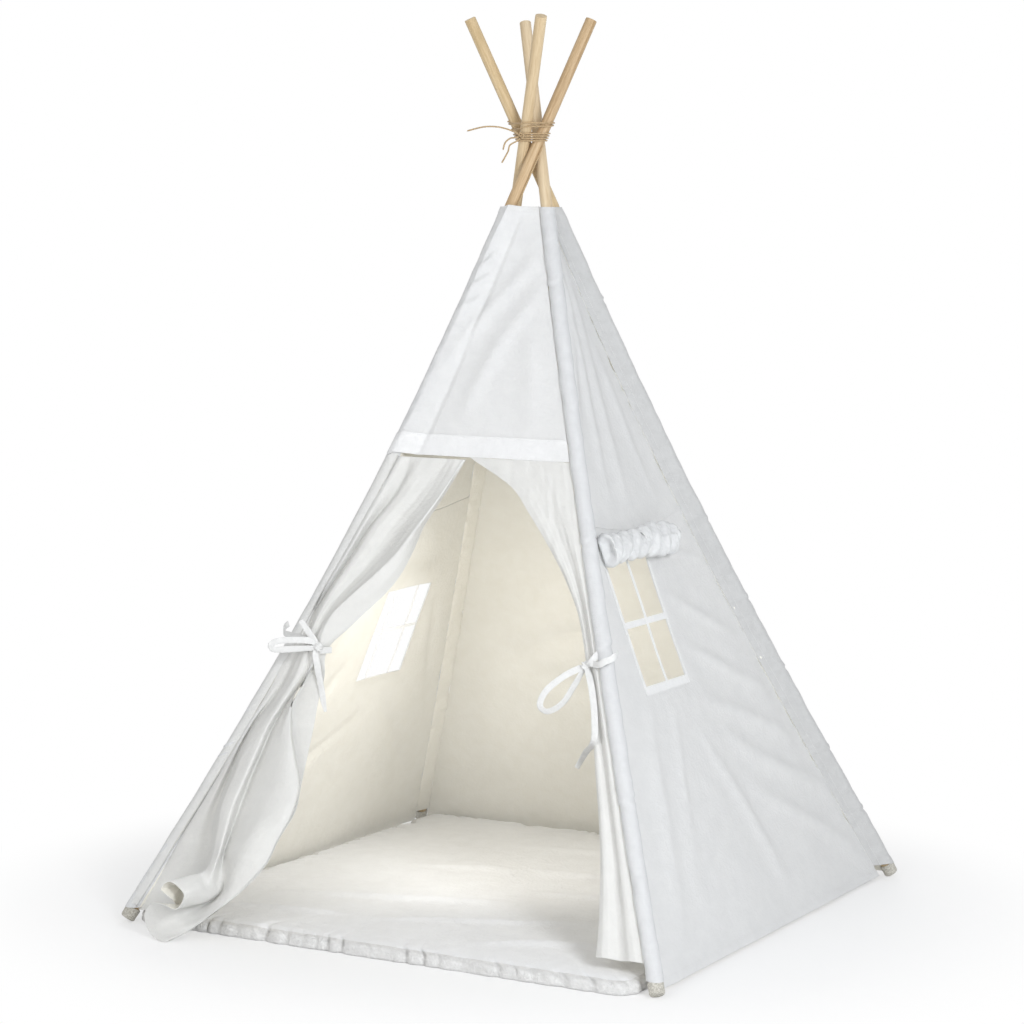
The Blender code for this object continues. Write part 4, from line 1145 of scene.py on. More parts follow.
def hangingGrid():
    facts = flaps["right"]
    doorway, top = shape["headerBottom"] - shape["hem"], shape["headerBottom"] - shape["seamGap"]
    waist, waistHeight = facts["waist"]
    depth, seed, scale = facts["ripple"]
    grid = []
    for i in range(facts["steps"] + 1):
        fall, reach, outShare, foldShare = tableRow(facts["rows"], (len(facts["rows"]) - 1) * i / facts["steps"])
        z = top - doorway * fall
        line = []
        for j in range(facts["columns"] + 1):
            across = j / facts["columns"]
            push = facts["out"] * outShare * across**1.5
            push += facts["foldDepth"] * foldShare * min(1, across * 3) * math.sin(math.tau * facts["folds"] * across)
            fine = math.sin(math.tau * (facts["fineFolds"] * across + 0.35 * ripple(across, z, 21, 0.3)))
            fine *= (0.25 + 0.75 * bell(z - waist, waistHeight)) * min(1, across * 6) * smooth(0, 0.08, top - z)
            push += facts["fine"] * fine + depth * ripple(across * reach, z, seed, scale)
            line.append(frontWall.at(1 - across * reach / 2, z, push))
        grid.append(line[::-1])
    return np.array(grid)


def drapedGrid():
    facts, net = flaps["left"], []
    for height, *places in facts["levels"]:
        z = height / 1000
        net.append([frontPoint(0, z)] + [Vector((x / 1000, y / 1000, z)) for x, y in zip(places[::2], places[1::2])])
    for height, *places in facts["bends"]:
        spots = zip(places[::3], places[1::3], places[2::3])
        net.append([frontPoint(0, height / 1000)] + [Vector(spot) / 1000 for spot in spots])
    rowsBetween, columnsBetween = facts["between"]
    columns = np.array(smoothRoute(np.array(net), rowsBetween)).transpose(1, 0, 2)
    grid = np.array(smoothRoute(columns, columnsBetween)).transpose(1, 0, 2)
    normals = gridNormals(grid)
    wrapDepth, wrapSeed, wrapScale = facts["wrapRipple"]
    depth, seed, scale = facts["ripple"]
    rows = []
    for i, line in enumerate(grid):
        z = line[0][2]
        start = -shape["frontGap"] / (2 * frontWall.half(z))
        row = [frontPoint(0, z, wrapDepth * ripple(z, wrap, wrapSeed, wrapScale), wrap) for wrap in wraps]
        row += [frontPoint(start * (1 - k / 3), z) for k in range(3)]
        for j, point in enumerate(line):
            fine = depth * ripple(j * 0.004, i * 0.0024, seed, scale) * min(1, j / 12)
            row.append(Vector(point) + Vector(normals[i][j]) * fine)
        rows.append(row)
    return np.array(rows)


def makeFlap(side, grid, edge):
    corner = f"front_{side}"
    piece = clothSlab(f"doorFlap_{side}", grid, shape["cloth"], canvasFlap, canvasIn)
    bendWith(piece, frontWall, corner)
    declareCloth(piece)
    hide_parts(f"door_flap_{side}")
    raised = grid + gridNormals(grid) * (stitchLift + 0.0001)
    sewn = sew(f"flapStitches_{side}", [raised[:, edge], raised[-4, 3:-3]])
    bendWith(sewn, frontWall, corner)
    return piece


flapPieces = {"left": makeFlap("left", drapedGrid(), -4), "right": makeFlap("right", hangingGrid(), 4)}
print("door flaps made")

# Sleeves: loops of cloth round the poles, sewn to the side walls

sleeves = {
    "steps": 26,
    "flatSteps": 5,
    "heightStep": 0.005,
    "innerFaces": 9,
    # Painted shade: the right sleeves take darker copies of the sleeve cloth than the left ones.
    "looks": {"back_right": canvasPaintedDeepShade, "front_right": canvasSleevePaintedShade},
    # each skin's radius, how far its flat stands off the seam, and how far it stops short of it
    "outer": (shape["sleeveOuter"], 0.0013, 0),
    "inner": (shape["sleeveInner"], 0.0004, 0.0024),
    "lift": 0.0007,
    "ripple": (0.0016, 0.026),
    "ridge": (0.0022, 0.007, 0.005),
    "groove": (0.0030, 0.0045),
    "leastLift": -0.0006,
    "hemBand": 0.0125,
    "hemLift": 0.0006,
    "pucker": (0.0044, 0.016),
    "creases": {
        "back_right": (1.266, 0.80, 0.63, 0.477, 0.295, 0.16),
        "front_right": (1.30, 0.80, 0.60, 0.33),
        "front_left": (0.35, 0.33),
        "back_left": (1.20, 0.80, 0.55, 0.30),
    },
}


def sleeveLift(corner, z, angle, seed):
    depth, scale = sleeves["ripple"]
    ridge, apart, width = sleeves["ridge"]
    groove, narrow = sleeves["groove"]
    lift = sleeves["lift"] + depth * ripple(angle * 0.012, z, seed, scale)
    for height in sleeves["creases"][corner]:
        beyond = z - height - 0.008 * math.sin(angle)
        lift += ridge * bell(beyond - apart, width) - groove * bell(beyond, narrow)
    isHem = z < shape["sleeveHem"] + sleeves["hemBand"]
    return max(lift, sleeves["leastLift"]) + (sleeves["hemLift"] if isHem else 0)


def sleeveLoop(corner, z, seed, skin):
    centre, seam, out = poleAt(corner, z), sleeveSeam(corner, z), outward(corner)
    away = (centre - seam).normalized()
    aside = besideOf(away)
    radius, tail, inset = sleeves[skin]
    stretch = 1 / poleWay(corner, z).z - 1
    halfAngle = math.pi - math.acos(radius / ((centre - seam).length - inset))
    steps, flatSteps = sleeves["steps"], sleeves["flatSteps"]
    loop = []
    for k in range(steps + 1):
        angle = halfAngle * (2 * k / steps - 1)
        way = away * math.cos(angle) + aside * math.sin(angle)
        way += out * way.dot(out) * stretch
        lift = sleeveLift(corner, z, angle, seed) if skin == "outer" else 0
        loop.append(centre + way * (radius + lift))
    flats = []
    for side, edge in ((1, loop[-1]), (-1, loop[0])):  # the flat from the loop down to the seam
        stitch = seam + away * inset + aside * side * tail
        flat = [edge.lerp(stitch, k / flatSteps) for k in range(1, flatSteps)]
        if skin == "outer":  # gathered by the stitches
            depth, scale = sleeves["pucker"]
            pucker = depth * ripple(z, side, seed + 3, scale)
            for k in range(1, flatSteps):
                t = k / flatSteps
                flat[k - 1] += aside * side * (pucker * t + 0.0005 * math.sin(math.pi * t))
        flats.append([*flat, stitch])
    return flats[1][::-1] + loop + flats[0]


def makeSleeve(corner, seed):
    hem, collar, band = shape["sleeveHem"], shape["collar"], shape["collarBand"]
    heights = spread([hem, hem + band, collar - band, collar], sleeves["heightStep"])
    loops = {skin: [sleeveLoop(corner, z, seed, skin) for z in heights] for skin in ("outer", "inner")}
    run = runLengths(loops["outer"][0])
    run.append(run[-1] + 0.003)
    places = [heights[0] - 0.001, *heights, *heights[::-1]]
    turnsIn = besideOf(poleAt(corner, 1) - sleeveSeam(corner, 1)).dot(outward(corner)) > 0
    innerFaces = sleeves["innerFaces"]

    def slotAt(i, k):
        isInner = k < innerFaces if turnsIn else k >= len(loops["outer"][0]) - 1 - innerFaces
        return int(isInner or i > len(heights))

    mesh = bmesh.new()
    rings = {skin: [[mesh.verts.new(point) for point in loop] for loop in found] for skin, found in loops.items()}
    skins = [rings["inner"][0], *rings["outer"], *rings["inner"][::-1]]
    loft(mesh, skins, lambda i, k: (run[k], places[i] * 1.1), slotAt)
    piece = finishMesh(f"sleeveCloth_{corner}", mesh, (sleeves["looks"].get(corner, canvasThick), canvasThickIn), 60)
    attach(piece, f"pole_{corner}")
    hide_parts(f"sleeve_{corner}")
    declareCloth(piece)
    row = []
    for z, loop in zip(heights, loops["outer"]):
        beside = besideOf((poleAt(corner, z) - sleeveSeam(corner, z)).normalized())
        spot, way = (loop[-3], beside) if turnsIn else (loop[2], -beside)
        row.append(spot + way * 0.0006)
    sewn = sew(f"sleeveStitches_{corner}", [row])
    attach(sewn, f"pole_{corner}")


for number, corner in enumerate(corners):
    makeSleeve(corner, 40 + number * 4)
print("sleeves made")

# Windows: a sewn border and two crossed tapes that follow the wall's relief


def wallSlab(name, node, wall, xs, zs, cloth, hole=None):
    lift, thickness = windows[cloth]
    grid = np.array([[wall.onCloth(x, z, lift + thickness) for x in xs] for z in zs])
    piece = clothSlab(name, grid, thickness, tapeCotton, tapeCotton, hole)
    bendWith(piece, wall, wall.start)
    declareCloth(piece)
    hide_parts(node)


def makeWindow(wall):
    key = wall.key
    shift, sill, tall, tapeShare = windows[key]
    half, border, low = windows["width"] / 2, windows["border"], windows["sill"]
    levelTape, uprightTape, places = windows["tapes"][key]
    left, right, head, middle = shift - half, shift + half, sill + tall, sill + tall * tapeShare
    coarse, fine = windows["steps"]
    short = windows["tapeShort"]
    xs = spread([left - border, left, right, right + border], coarse)
    zs = spread([head + border * 0.5, head, sill, sill - low], coarse)
    hole = (nearest(zs, head), nearest(zs, sill), nearest(xs, left), nearest(xs, right))
    wallSlab(f"windowBorder_{key}", f"window_border_{key}", wall, xs, zs, "borderCloth", hole)
    xs = spread([left + short, right - short], coarse)
    zs = spread([middle + levelTape / 2, middle - levelTape / 2], fine)
    wallSlab(f"windowTapeLevel_{key}", f"window_tape_level_{key}", wall, xs, zs, "levelCloth")
    zs = spread([head, sill - low * 0.5], coarse)
    for ending, share in places.items():
        x = shift + half * share
        xs = spread([x - uprightTape / 2, x + uprightTape / 2], fine)
        name, node = f"windowTapeUpright_{key}{ending}", f"window_tape_upright_{key}{ending}"
        wallSlab(name, node, wall, xs, zs, "uprightCloth")


makeWindow(rightWall)
makeWindow(leftWall)
print("windows made")

# Shades: a gathered roll under the side seam and the strap that holds it

shades = {
    "length": 0.300,
    "height": 0.056,
    "depth": 0.036,
    "flatShare": 0.80,
    "off": 0.0052,
    "steps": 190,
    "around": 56,
    "pleats": 6.5,
    "pleatDepth": 0.0064,
    "waist": (0.25, 0.55, 0.05),  # depth, place and width
    "bulge": 0.10,
    "ends": ((0.16, 0.88, 1), (0.08, 0.08, 0)),
    "twist": 2.6,
    "stray": (1.3, 0.16),
    "sharpness": 0.8,
    "uneven": (0.85, 0.4, 0.10),
    "small": (0.0010, 1.55, 2.1, 0.3),
    "soft": (0.0012, 0.07),
    "ruffle": (0.0040, 0.66, 0.80, 0.11),
    "tuck": ((0.72, -0.003), (0.40, -0.010), (0.15, -0.016)),
    "drop": {"right": 0.030, "left": 0.128},
    "overhang": 0.014,
    "weave": (0.003, 0.0026),
    "strapWidth": 0.013,
    "strapWall": 0.0010,
    "strapOut": 0.0036,
    "strapPoints": 15,
    "strapTurn": 125,
    "strapSlant": 0.010,
    "strapTilt": 0.12,
}


def shadeFrame(wall):
    flat = shades["depth"] / 2 * shades["flatShare"]
    z = shape["sideSeam"] - shape["seamSag"] - shades["drop"][wall.key]
    start = windows[wall.key][0] - windows["width"] / 2 - shades["overhang"]
    along, normal = wall.frame(z)[2:4]
    fall = normal.cross(along).normalized()
    if fall.z > 0:
        fall = -fall
    return flat, lambda t: wall.atShift(start + shades["length"] * t, z, shades["off"] + flat), along, normal, fall


def shadePleat(t, angle, seed):
    (stray, straySize), (even, uneven, unevenSize) = shades["stray"], shades["uneven"]
    (small, often, shift, shiftSize), (soft, softSize) = shades["small"], shades["soft"]
    ruffle, start, full, ruffleSize = shades["ruffle"]
    phase = math.tau * shades["pleats"] * t + shades["twist"] * math.sin(angle)
    phase += stray * ripple(t, angle * 0.1, seed, straySize)
    fold = abs(math.sin(phase / 2)) ** shades["sharpness"] * 2 - 1
    pleat = shades["pleatDepth"] * fold * (even + uneven * ripple(t, angle * 0.1, seed + 1, unevenSize))
    pleat += small * (abs(math.sin(phase * often + shift * ripple(t, angle, seed + 4, shiftSize))) * 2 - 1)
    pleat += soft * ripple(t * 3, math.sin(angle), seed + 2, softSize)
    return pleat + ruffle * smooth(start, full, t) * ripple(t * 2, angle * 0.12, seed + 6, ruffleSize)


def makeShade(wall, seed):
    flat, centreAt, along, normal, fall = shadeFrame(wall)
    around, (waist, waistPlace, waistWidth) = shades["around"], shades["waist"]
    mesh = bmesh.new()
    rings = []
    for i in range(shades["steps"] + 1):
        t = i / shades["steps"]
        swell = (1 - waist * bell(t - waistPlace, waistWidth)) * (1 - shades["bulge"] * math.sin(math.tau * t))
        swell *= 1 + sum(more * smooth(near, far, t) for more, near, far in shades["ends"])
        ring = []
        for k in range(around):
            angle = math.tau * k / around
            pleat = shadePleat(t, angle, seed)
            reachOut = max(-flat, (shades["depth"] / 2 * swell + pleat) * math.cos(angle))
            reachDown = (shades["height"] / 2 * swell + pleat) * math.sin(angle)
            ring.append(mesh.verts.new(centreAt(t) + normal * reachOut + fall * reachDown))
        rings.append(ring)
    alongRoll, roundRoll = shades["weave"]
    loft(mesh, rings, lambda i, k: (i * alongRoll, k * roundRoll))
    for ring, ahead in ((rings[0], -1), (rings[-1], 1)):  # the roll's ends tuck in
        middle = sum((v.co for v in ring), Vector()) / around
        tucked = [ring]
        for share, depth in shades["tuck"]:
            tucked.append([mesh.verts.new(middle.lerp(v.co, share) + along * ahead * depth) for v in ring])
        loft(mesh, tucked)
        mesh.faces.new(tucked[-1])
    piece = finishMesh(f"shadeRoll_{wall.key}", mesh, [canvasShade])
    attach(piece, f"shade_{wall.key}")
    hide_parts(f"window_shade_{wall.key}")


# Tapes: a flat strip along a route, each point with its own way across

tapeProfile = (
    *((-1, -0.6), (-0.96, -1), (-0.5, -1), (0, -1), (0.5, -1), (0.96, -1), (1, -0.6)),
    *((1, 0.6), (0.96, 1), (0.5, 1), (0, 1), (-0.5, 1), (-0.96, 1), (-1, 0.6)),
)
tapeCup = (0.0006, 90)


def wayAt(points, k, reach=1):
    return (points[min(k + reach, len(points) - 1)] - points[max(k - reach, 0)]).normalized()


def makeTape(name, points, flats, width, thickness, material, perSpan, widths=None):
    route, ways = smoothRoute(points, perSpan), smoothRoute(flats, perSpan)
    spans = smoothRoute(widths or [1] * len(points), perSpan)
    run = runLengths(route)
    depth, often = tapeCup
    mesh = bmesh.new()
    rings = []
    for k, point in enumerate(route):
        way = wayAt(route, k)
        flat = (ways[k] - way * ways[k].dot(way)).normalized()
        thick = way.cross(flat)
        cup = depth * math.sin(run[k] * often)
        ring = []
        for a, b in tapeProfile:
            spot = point + flat * a * width / 2 * spans[k] + thick * (b * thickness / 2 + cup * a * a)
            ring.append(mesh.verts.new(spot))
        rings.append(ring)
    loft(mesh, rings, lambda i, k: (tapeProfile[k % len(tapeProfile)][0] * width / 2, run[i]))
    mesh.faces.new(rings[0])
    mesh.faces.new(rings[-1][::-1])
    return finishMesh(name, mesh, [material], 50), run[-1]


def makeShadeStrap(wall):
    flat, centreAt, along, normal, fall = shadeFrame(wall)
    waist, waistPlace, waistWidth = shades["waist"]
    outReach, downReach = (shades[key] / 2 * (1 - waist) + shades["strapOut"] for key in ("depth", "height"))
    points, last = [], shades["strapPoints"] - 1
    for k in range(last + 1):
        angle = math.radians(shades["strapTurn"] * (2 * k / last - 1))
        reach = normal * outReach * math.cos(angle) + fall * downReach * math.sin(angle)
        points.append(centreAt(waistPlace) + reach + along * shades["strapSlant"] * math.sin(angle))
    flats, width = [along + fall * shades["strapTilt"]] * len(points), shades["strapWidth"]
    piece, length = makeTape(f"shadeStrap_{wall.key}", points, flats, width, shades["strapWall"], tapeCotton, 3)
    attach(piece, f"shade_{wall.key}")
    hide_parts(f"shade_strap_{wall.key}")


for wall, seed in ((rightWall, 60), (leftWall, 64)):
    makeShade(wall, seed)
    makeShadeStrap(wall)
print("shades made")

# Ties: tapes sewn in at the sleeve, drawn round the gathered flap and tied in a bow

ties = {
    "height": 0.57222,
    "width": 0.013,
    "wall": 0.0012,
    "rise": 0.030,
    "lower": 0.0125,
    "overSleeve": 0.0200,
    "gap": 0.0006,
    "turn": {"left": 25, "right": -45},
    "facing": 29,
    "knotOut": 0.0035,
    "knotDown": 0.005,
    "knotSize": (0.0088, 0.0065, 0.0092),
    "near": (0.008, 0.06),
    "room": (0.0014, 0.6),
}


def gatheredPoints(flap, corner, z):
    near = [v.co.copy() for v in flap.data.vertices if abs(v.co.z - z) < ties["width"] * 1.2]
    for rise in (-0.008, 0.008):
        near += [poleAt(corner, z + rise) + level(math.tau * k / 24) * ties["overSleeve"] for k in range(24)]
        near.append(sleeveSeam(corner, z + rise))
    for point in near:
        point.z = z
    return near


def tautTape(flap, corner, startAngle, sweep, z, rise):
    near, steps, taut = gatheredPoints(flap, corner, z), 40, []
    for k in range(steps + 1):
        way = level(startAngle + sweep * k / steps)
        spot = max(near, key=lambda point: point.dot(way)) + way * (ties["wall"] * 0.5 + ties["gap"])
        spot.z = z + rise * (1 - k / steps)
        taut.append(spot)
    return evenly(taut, 21)[1:]


def clearOf(flap, point, way, room):
    beside, ahead = besideOf(way), point.dot(way)
    near, far = ties["near"]
    for vertex in flap.data.vertices:
        apart = vertex.co - point
        if abs(apart.z) < near and abs(apart.dot(beside)) < near and abs(apart.dot(way)) < far:
            ahead = max(ahead, vertex.co.dot(way) + room)
    return point + way * (ahead - point.dot(way))


bows = {
    # points are (aside, down, out) in metres from the knot
    "left": {
        "tilt": 0.12,
        "tailEnd": 0.45,
        "tail": (
            *((-0.006, 0.012, 0.003), (-0.003, 0.035, 0.003), (0.002, 0.065, 0.002), (0.008, 0.098, 0.002)),
            (0.014, 0.132, 0.002),
        ),
        "bow": (
            *((-0.014, -0.012, 0.004), (-0.045, -0.014, 0.007), (-0.080, -0.012, 0.010), (-0.096, -0.004, 0.013)),
            *((-0.088, 0.006, 0.017), (-0.050, 0.004, 0.014), (-0.006, 0.002, 0.008)),
        ),
        "short": ((-0.010, -0.016, 0.004), (-0.024, -0.036, 0.004), (-0.036, -0.054, 0.004)),
    },
    "right": {
        "tilt": 0.30,
        "tailEnd": 0.8,
        "tail": (
            *((0.006, 0.014, 0.006), (0.012, 0.045, 0.016), (0.016, 0.090, 0.026), (0.014, 0.135, 0.034)),
            *((0.002, 0.172, 0.040), (-0.014, 0.202, 0.044)),
        ),
        "bow": (
            *((-0.014, 0.006, 0.005), (-0.044, 0.022, 0.008), (-0.076, 0.050, 0.010), (-0.088, 0.078, 0.012)),
            *((-0.072, 0.090, 0.014), (-0.042, 0.072, 0.014), (-0.020, 0.036, 0.012), (-0.004, 0.008, 0.006)),
        ),
        "short": ((0.008, -0.008, 0.004), (0.022, -0.024, 0.004), (0.038, -0.036, 0.004)),
    },
}


def makeKnot(name, centre, way):
    wide, deep, tall = ties["knotSize"]
    mesh = bmesh.new()
    bmesh.ops.create_uvsphere(mesh, u_segments=28, v_segments=18, radius=1)
    for vertex in mesh.verts:
        p = vertex.co.copy()
        p *= 1 + 0.16 * math.sin(p.x * 5 + p.z * 7) + 0.10 * math.cos(p.z * 11 - p.x * 6)
        vertex.co = centre + besideOf(way) * p.x * wide + way * p.y * deep + Vector((0, 0, p.z * tall))
    for face in mesh.faces:
        face.smooth = True
    mapCloth(mesh, lambda spot: (spot.x, spot.z))
    return finishMesh(name, mesh, [tieCotton])


def makeTie(side):
    flap, corner, z = flapPieces[side], f"front_{side}", ties["height"]
    facing = frontWall.frame(z)[3]
    frontAngle = math.atan2(facing.y, facing.x)
    knotAngle = frontAngle + math.radians(ties["turn"][side])
    seam = sleeveSeam(corner, z) - poleAt(corner, z)
    seamAngle = math.atan2(seam.y, seam.x)
    spin = 1 if side == "left" else -1
    turn = spin * (math.radians(90) - math.asin(shape["sleeveOuter"] / seam.length))
    sweep = (knotAngle - seamAngle - turn) * spin % math.tau * spin
    back = (seamAngle - turn - knotAngle) * spin % math.tau * -spin
    taut = {
        "outer": tautTape(flap, corner, seamAngle + turn, sweep, z, ties["rise"]),
        "inner": tautTape(flap, corner, seamAngle - turn, back, z - ties["lower"], 0),
    }
    way = level(knotAngle)
    knot = taut["outer"][-1] + way * ties["knotOut"] + down * ties["knotDown"]
    size = (ties["width"], ties["wall"], tieCotton)
    for part, points in taut.items():
        points[-1] = knot + way * 0.0008
        piece, length = makeTape(f"flapTie_{side}_{part}", points, [down] * len(points), *size, 2)
        bendWith(piece, frontWall, corner)
        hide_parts(f"flap_tie_{side}_{part}")
    way = level(frontAngle + math.radians(ties["facing"]))
    least, share = ties["room"]
    for part, end in (("tail", bows[side]["tailEnd"]), ("bow", 0.8), ("short", 0.8)):
        points = [knot.copy()]
        for aside, fall, out in bows[side][part]:
            points.append(clearOf(flap, knot + besideOf(way) * aside + down * fall, way, least + out * share))
        runs = [wayAt(points, k) for k in range(len(points))]
        if part == "bow":
            flats = [way.cross(run).lerp(way, bows[side]["tilt"]) for run in runs]
        else:
            flats = [run.cross(way) + way * (0.35 * math.sin(k * 1.4)) for k, run in enumerate(runs)]
        widths = [0.5] + [1] * (len(points) - 2) + [end]
        piece, length = makeTape(f"flapTie_{side}_{part}", points, flats, *size, 6, widths)
        bendWith(piece, frontWall, corner)
    piece = makeKnot(f"flapTieKnot_{side}", knot + way * 0.002, way)
    bendWith(piece, frontWall, corner)


for side in ("left", "right"):
    makeTie(side)
print("ties made")

# Floor mat: crowned pad with a puckered edge

mat = {
    "halfWidth": 0.567,
    "front": 0.612,
    "back": 0.575,
    "corner": 0.045,
    "edgeHeight": 0.023,
    "crown": 0.036,
    "crownReach": 0.47,
    "crownRise": 2.2,
    "pucker": 0.0062,
    "puckerFade": 0.03,
    "waves": 88,
    "wander": (9, 0.04),
    "gather": (0.6, 1.7, 0.7, 1.1, 0.011),
    "edgeRipple": (0.5, 0.02, 0.6),
    "edgeSwell": 0.10,
    "lift": ((0.0030, 73, 0.16, 1), (0.0016, 74, 0.05, 0.6)),
    "gatherLift": 0.0040,
    "around": 980,
    # the edge, from below: inset, share of the height, share of the pucker
    "edge": (
        *((0.010, 0.0, 0), (0.003, 0.03, 0.5), (0.0, 0.16, 0.9), (-0.0006, 0.32, 0.9), (0.0012, 0.47, 0.55)),
        *((0.0008, 0.60, 1.0), (0.002, 0.75, 1.4), (0.006, 0.90, 1.6), (0.011, 1.0, 1.2), (0.018, 1.06, 0.8)),
    ),
    "insets": (0.026, 0.035, 0.045, 0.056, 0.068),
    "lastInset": 0.50,
    "rings": 40,
    "lines": [
        (-0.40, 0.25, 0.10, 0.40, 0.016, 0.0040),
        (-0.10, 0.15, 0.35, 0.35, 0.014, 0.0036),
        (-0.30, 0.60, 0.20, 0.75, 0.018, 0.0040),
        (0.05, 0.50, 0.45, 0.62, 0.014, 0.0034),
        (-0.45, 0.10, -0.15, 0.16, 0.012, 0.0034),
        (0.15, 0.08, 0.45, 0.20, 0.012, 0.0034),
        (-0.20, 0.90, 0.35, 0.95, 0.018, 0.0030),
    ],
}


def gather(turn):
    top, reach, least, vary, size = mat["gather"]
    wander, wanderSize = mat["wander"]
    phase = math.pi * mat["waves"] * turn + wander * ripple(turn, 0, 71, wanderSize)
    return top - reach * (least + vary * ripple(turn, 0, 75, size)) * abs(math.cos(phase)) ** 6


def matOutline(inset, rippleDepth):
    corner = max(mat["corner"] - inset, mat["corner"] / 3)
    halfX, near, far = mat["halfWidth"] - inset - corner, inset - mat["front"] + corner, mat["back"] - inset - corner
    quarter, (depth, size, offset) = math.radians(90), mat["edgeRipple"]
    lengths = [2 * halfX, quarter * corner, far - near, quarter * corner] * 2
    centres = [Vector(spot) for spot in ((halfX, near, 0), (halfX, far, 0), (-halfX, far, 0), (-halfX, near, 0))]
    points = []
    for n in range(mat["around"]):
        left, turn = sum(lengths) * n / mat["around"], n / mat["around"]
        for part, length in enumerate(lengths):
            if left <= length:
                break
            left -= length
        side, isArc = divmod(part, 2)
        facing = quarter * (side - 1)
        if isArc:
            facing += quarter * left / length
            base = centres[side]
        else:
            base = centres[side - 1].lerp(centres[side], left / length)
        wave = rippleDepth * (gather(turn) + depth * ripple(turn * 4, 0, 72, size) - offset)
        points.append((base + level(facing) * (corner + wave), turn))
    return points


def makeMat():
    mesh = bmesh.new()
    rings = []
    for inset, heightShare, rippleShare in mat["edge"]:
        ring = []
        for point, turn in matOutline(inset, mat["pucker"] * rippleShare):
            height = mat["edgeHeight"] * heightShare * (1 + mat["edgeSwell"] * gather(turn) * rippleShare)
            ring.append(mesh.verts.new(point + Vector((0, 0, max(0.0003, height)))))
        rings.append(ring)
    first, last, top = mat["insets"][-1], mat["lastInset"], mat["edgeHeight"] * mat["edge"][-1][1]
    for inset in [*mat["insets"], *(first + (last - first) * k / mat["rings"] for k in range(1, mat["rings"] + 1))]:
        ring = []
        fade = math.exp(-inset / mat["puckerFade"])
        rise = math.sin(math.radians(90) * min(1, inset / mat["crownReach"] * mat["crownRise"]))
        base = top + (mat["crown"] - top) * rise
        for point, turn in matOutline(inset, mat["pucker"] * fade):
            lift = mat["gatherLift"] * fade * gather(turn) + crease(point.x, point.y + 0.6, mat["lines"])
            for depth, seed, size, share in mat["lift"]:
                lift += depth * ripple(point.x, point.y * share, seed, size)
            ring.append(mesh.verts.new(point + Vector((0, 0, base + lift))))
        rings.append(ring)
    # The edge rings take the painted-shade edge cloth.
    loft(mesh, rings, slotAt=lambda i, k: int(i < len(mat["edge"]) - 1))
    mesh.faces.new(rings[0][::-1])
    mesh.faces.new(rings[-1]).smooth = True
    mapCloth(mesh, lambda spot: (spot.x + spot.z, spot.y + spot.z))
    piece = finishMesh("floorMatPad", mesh, [quiltCotton, matEdgePaintedShade])
    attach(piece, "mat")
    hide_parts("floor_mat")


makeMat()
print("mat made")

# Lashing: tan cord wound six times round the crossed poles, its knot and loose ends

cordFacts = {
    "radius": 0.0017,
    "lower": 4,
    "upper": 2,
    "start": 0.022,
    "startAngle": 238,
    "pitch": 0.0048,
    "step": 0.012,
    "perTurn": 72,
    "off": 0.0003,
    "around": 12,
    "spacing": 0.0011,
    "twist": 0.0075,
    "strand": (0.018, 0.125, 16),  # start above the crossing, drop and steps
    "knot": (0.0041, -0.0490, 0.0340),
}


def windingRoute():
    tilt = math.atan(footRadius / shape["crossingHeight"])
    reach = shape["poleRadius"] / math.cos(tilt) + cordFacts["off"] + cordFacts["radius"]
    route, perTurn = [], cordFacts["perTurn"]
    for k in range((cordFacts["lower"] + cordFacts["upper"]) * perTurn + 1):
        turn = k / perTurn
        step = smooth(0, 1, turn - (cordFacts["lower"] - 0.5))
        z = shape["crossingHeight"] + cordFacts["start"] + cordFacts["pitch"] * turn + cordFacts["step"] * step
        way = level(math.radians(cordFacts["startAngle"]) + math.tau * turn)
        centre = max((poleAt(corner, z) for corner in corners), key=lambda spot: spot.dot(way))
        route.append(centre + way * reach)
    return route


def makeCord(name, node, route, radius, isLoose=False):
    length, around = runLengths(route)[-1], cordFacts["around"]
    count = max(8, int(length / cordFacts["spacing"]))
    spaced = evenly(route, count)
    mesh = bmesh.new()
    rings = []
    side = wayAt(spaced, 0, 2).orthogonal()
    for k, point in enumerate(spaced):
        way = wayAt(spaced, k, 2)
        side = (side - way * side.dot(way)).normalized()
        twist = math.tau * length * k / count / cordFacts["twist"]
        size = radius * (1 - 0.5 * smooth(2, 0, min(k, count - k))) if isLoose else radius
        ring = []
        for n in range(around):
            angle = math.tau * n / around
            lobe = 0.90 + 0.10 * abs(math.cos(1.5 * (angle - twist)))
            spot = side * math.cos(angle) + way.cross(side) * math.sin(angle)
            ring.append(mesh.verts.new(point + spot * size * lobe))
        rings.append(ring)
    loft(mesh, rings)
    mesh.faces.new(rings[0])
    mesh.faces.new(rings[-1][::-1])
    piece = finishMesh(name, mesh, [tanCord])
    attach(piece, "cover")
    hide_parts(node)
    return piece, spaced[:: max(1, count // 36)] + [spaced[-1]], length


ropeEnds = {
    "long": (
        *((-0.0037, -0.0503, 0.0365), (-0.0130, -0.0510, 0.0405), (-0.0280, -0.0540, 0.0460)),
        *((-0.0480, -0.0600, 0.0505), (-0.0740, -0.0710, 0.0502), (-0.1035, -0.0880, 0.0415)),
    ),
    "short": (
        *((-0.0024, -0.0520, 0.0297), (-0.0110, -0.0530, 0.0285), (-0.0222, -0.0520, 0.0270)),
        *((-0.0323, -0.0547, 0.0178), (-0.0350, -0.0579, 0.0034)),
    ),
    "curled": (
        *((0.0015, -0.0525, 0.0264), (-0.0060, -0.0545, 0.0210), (-0.0190, -0.0580, 0.0130)),
        *((-0.0225, -0.0600, -0.0005), (-0.0330, -0.0665, -0.0232)),
    ),
}


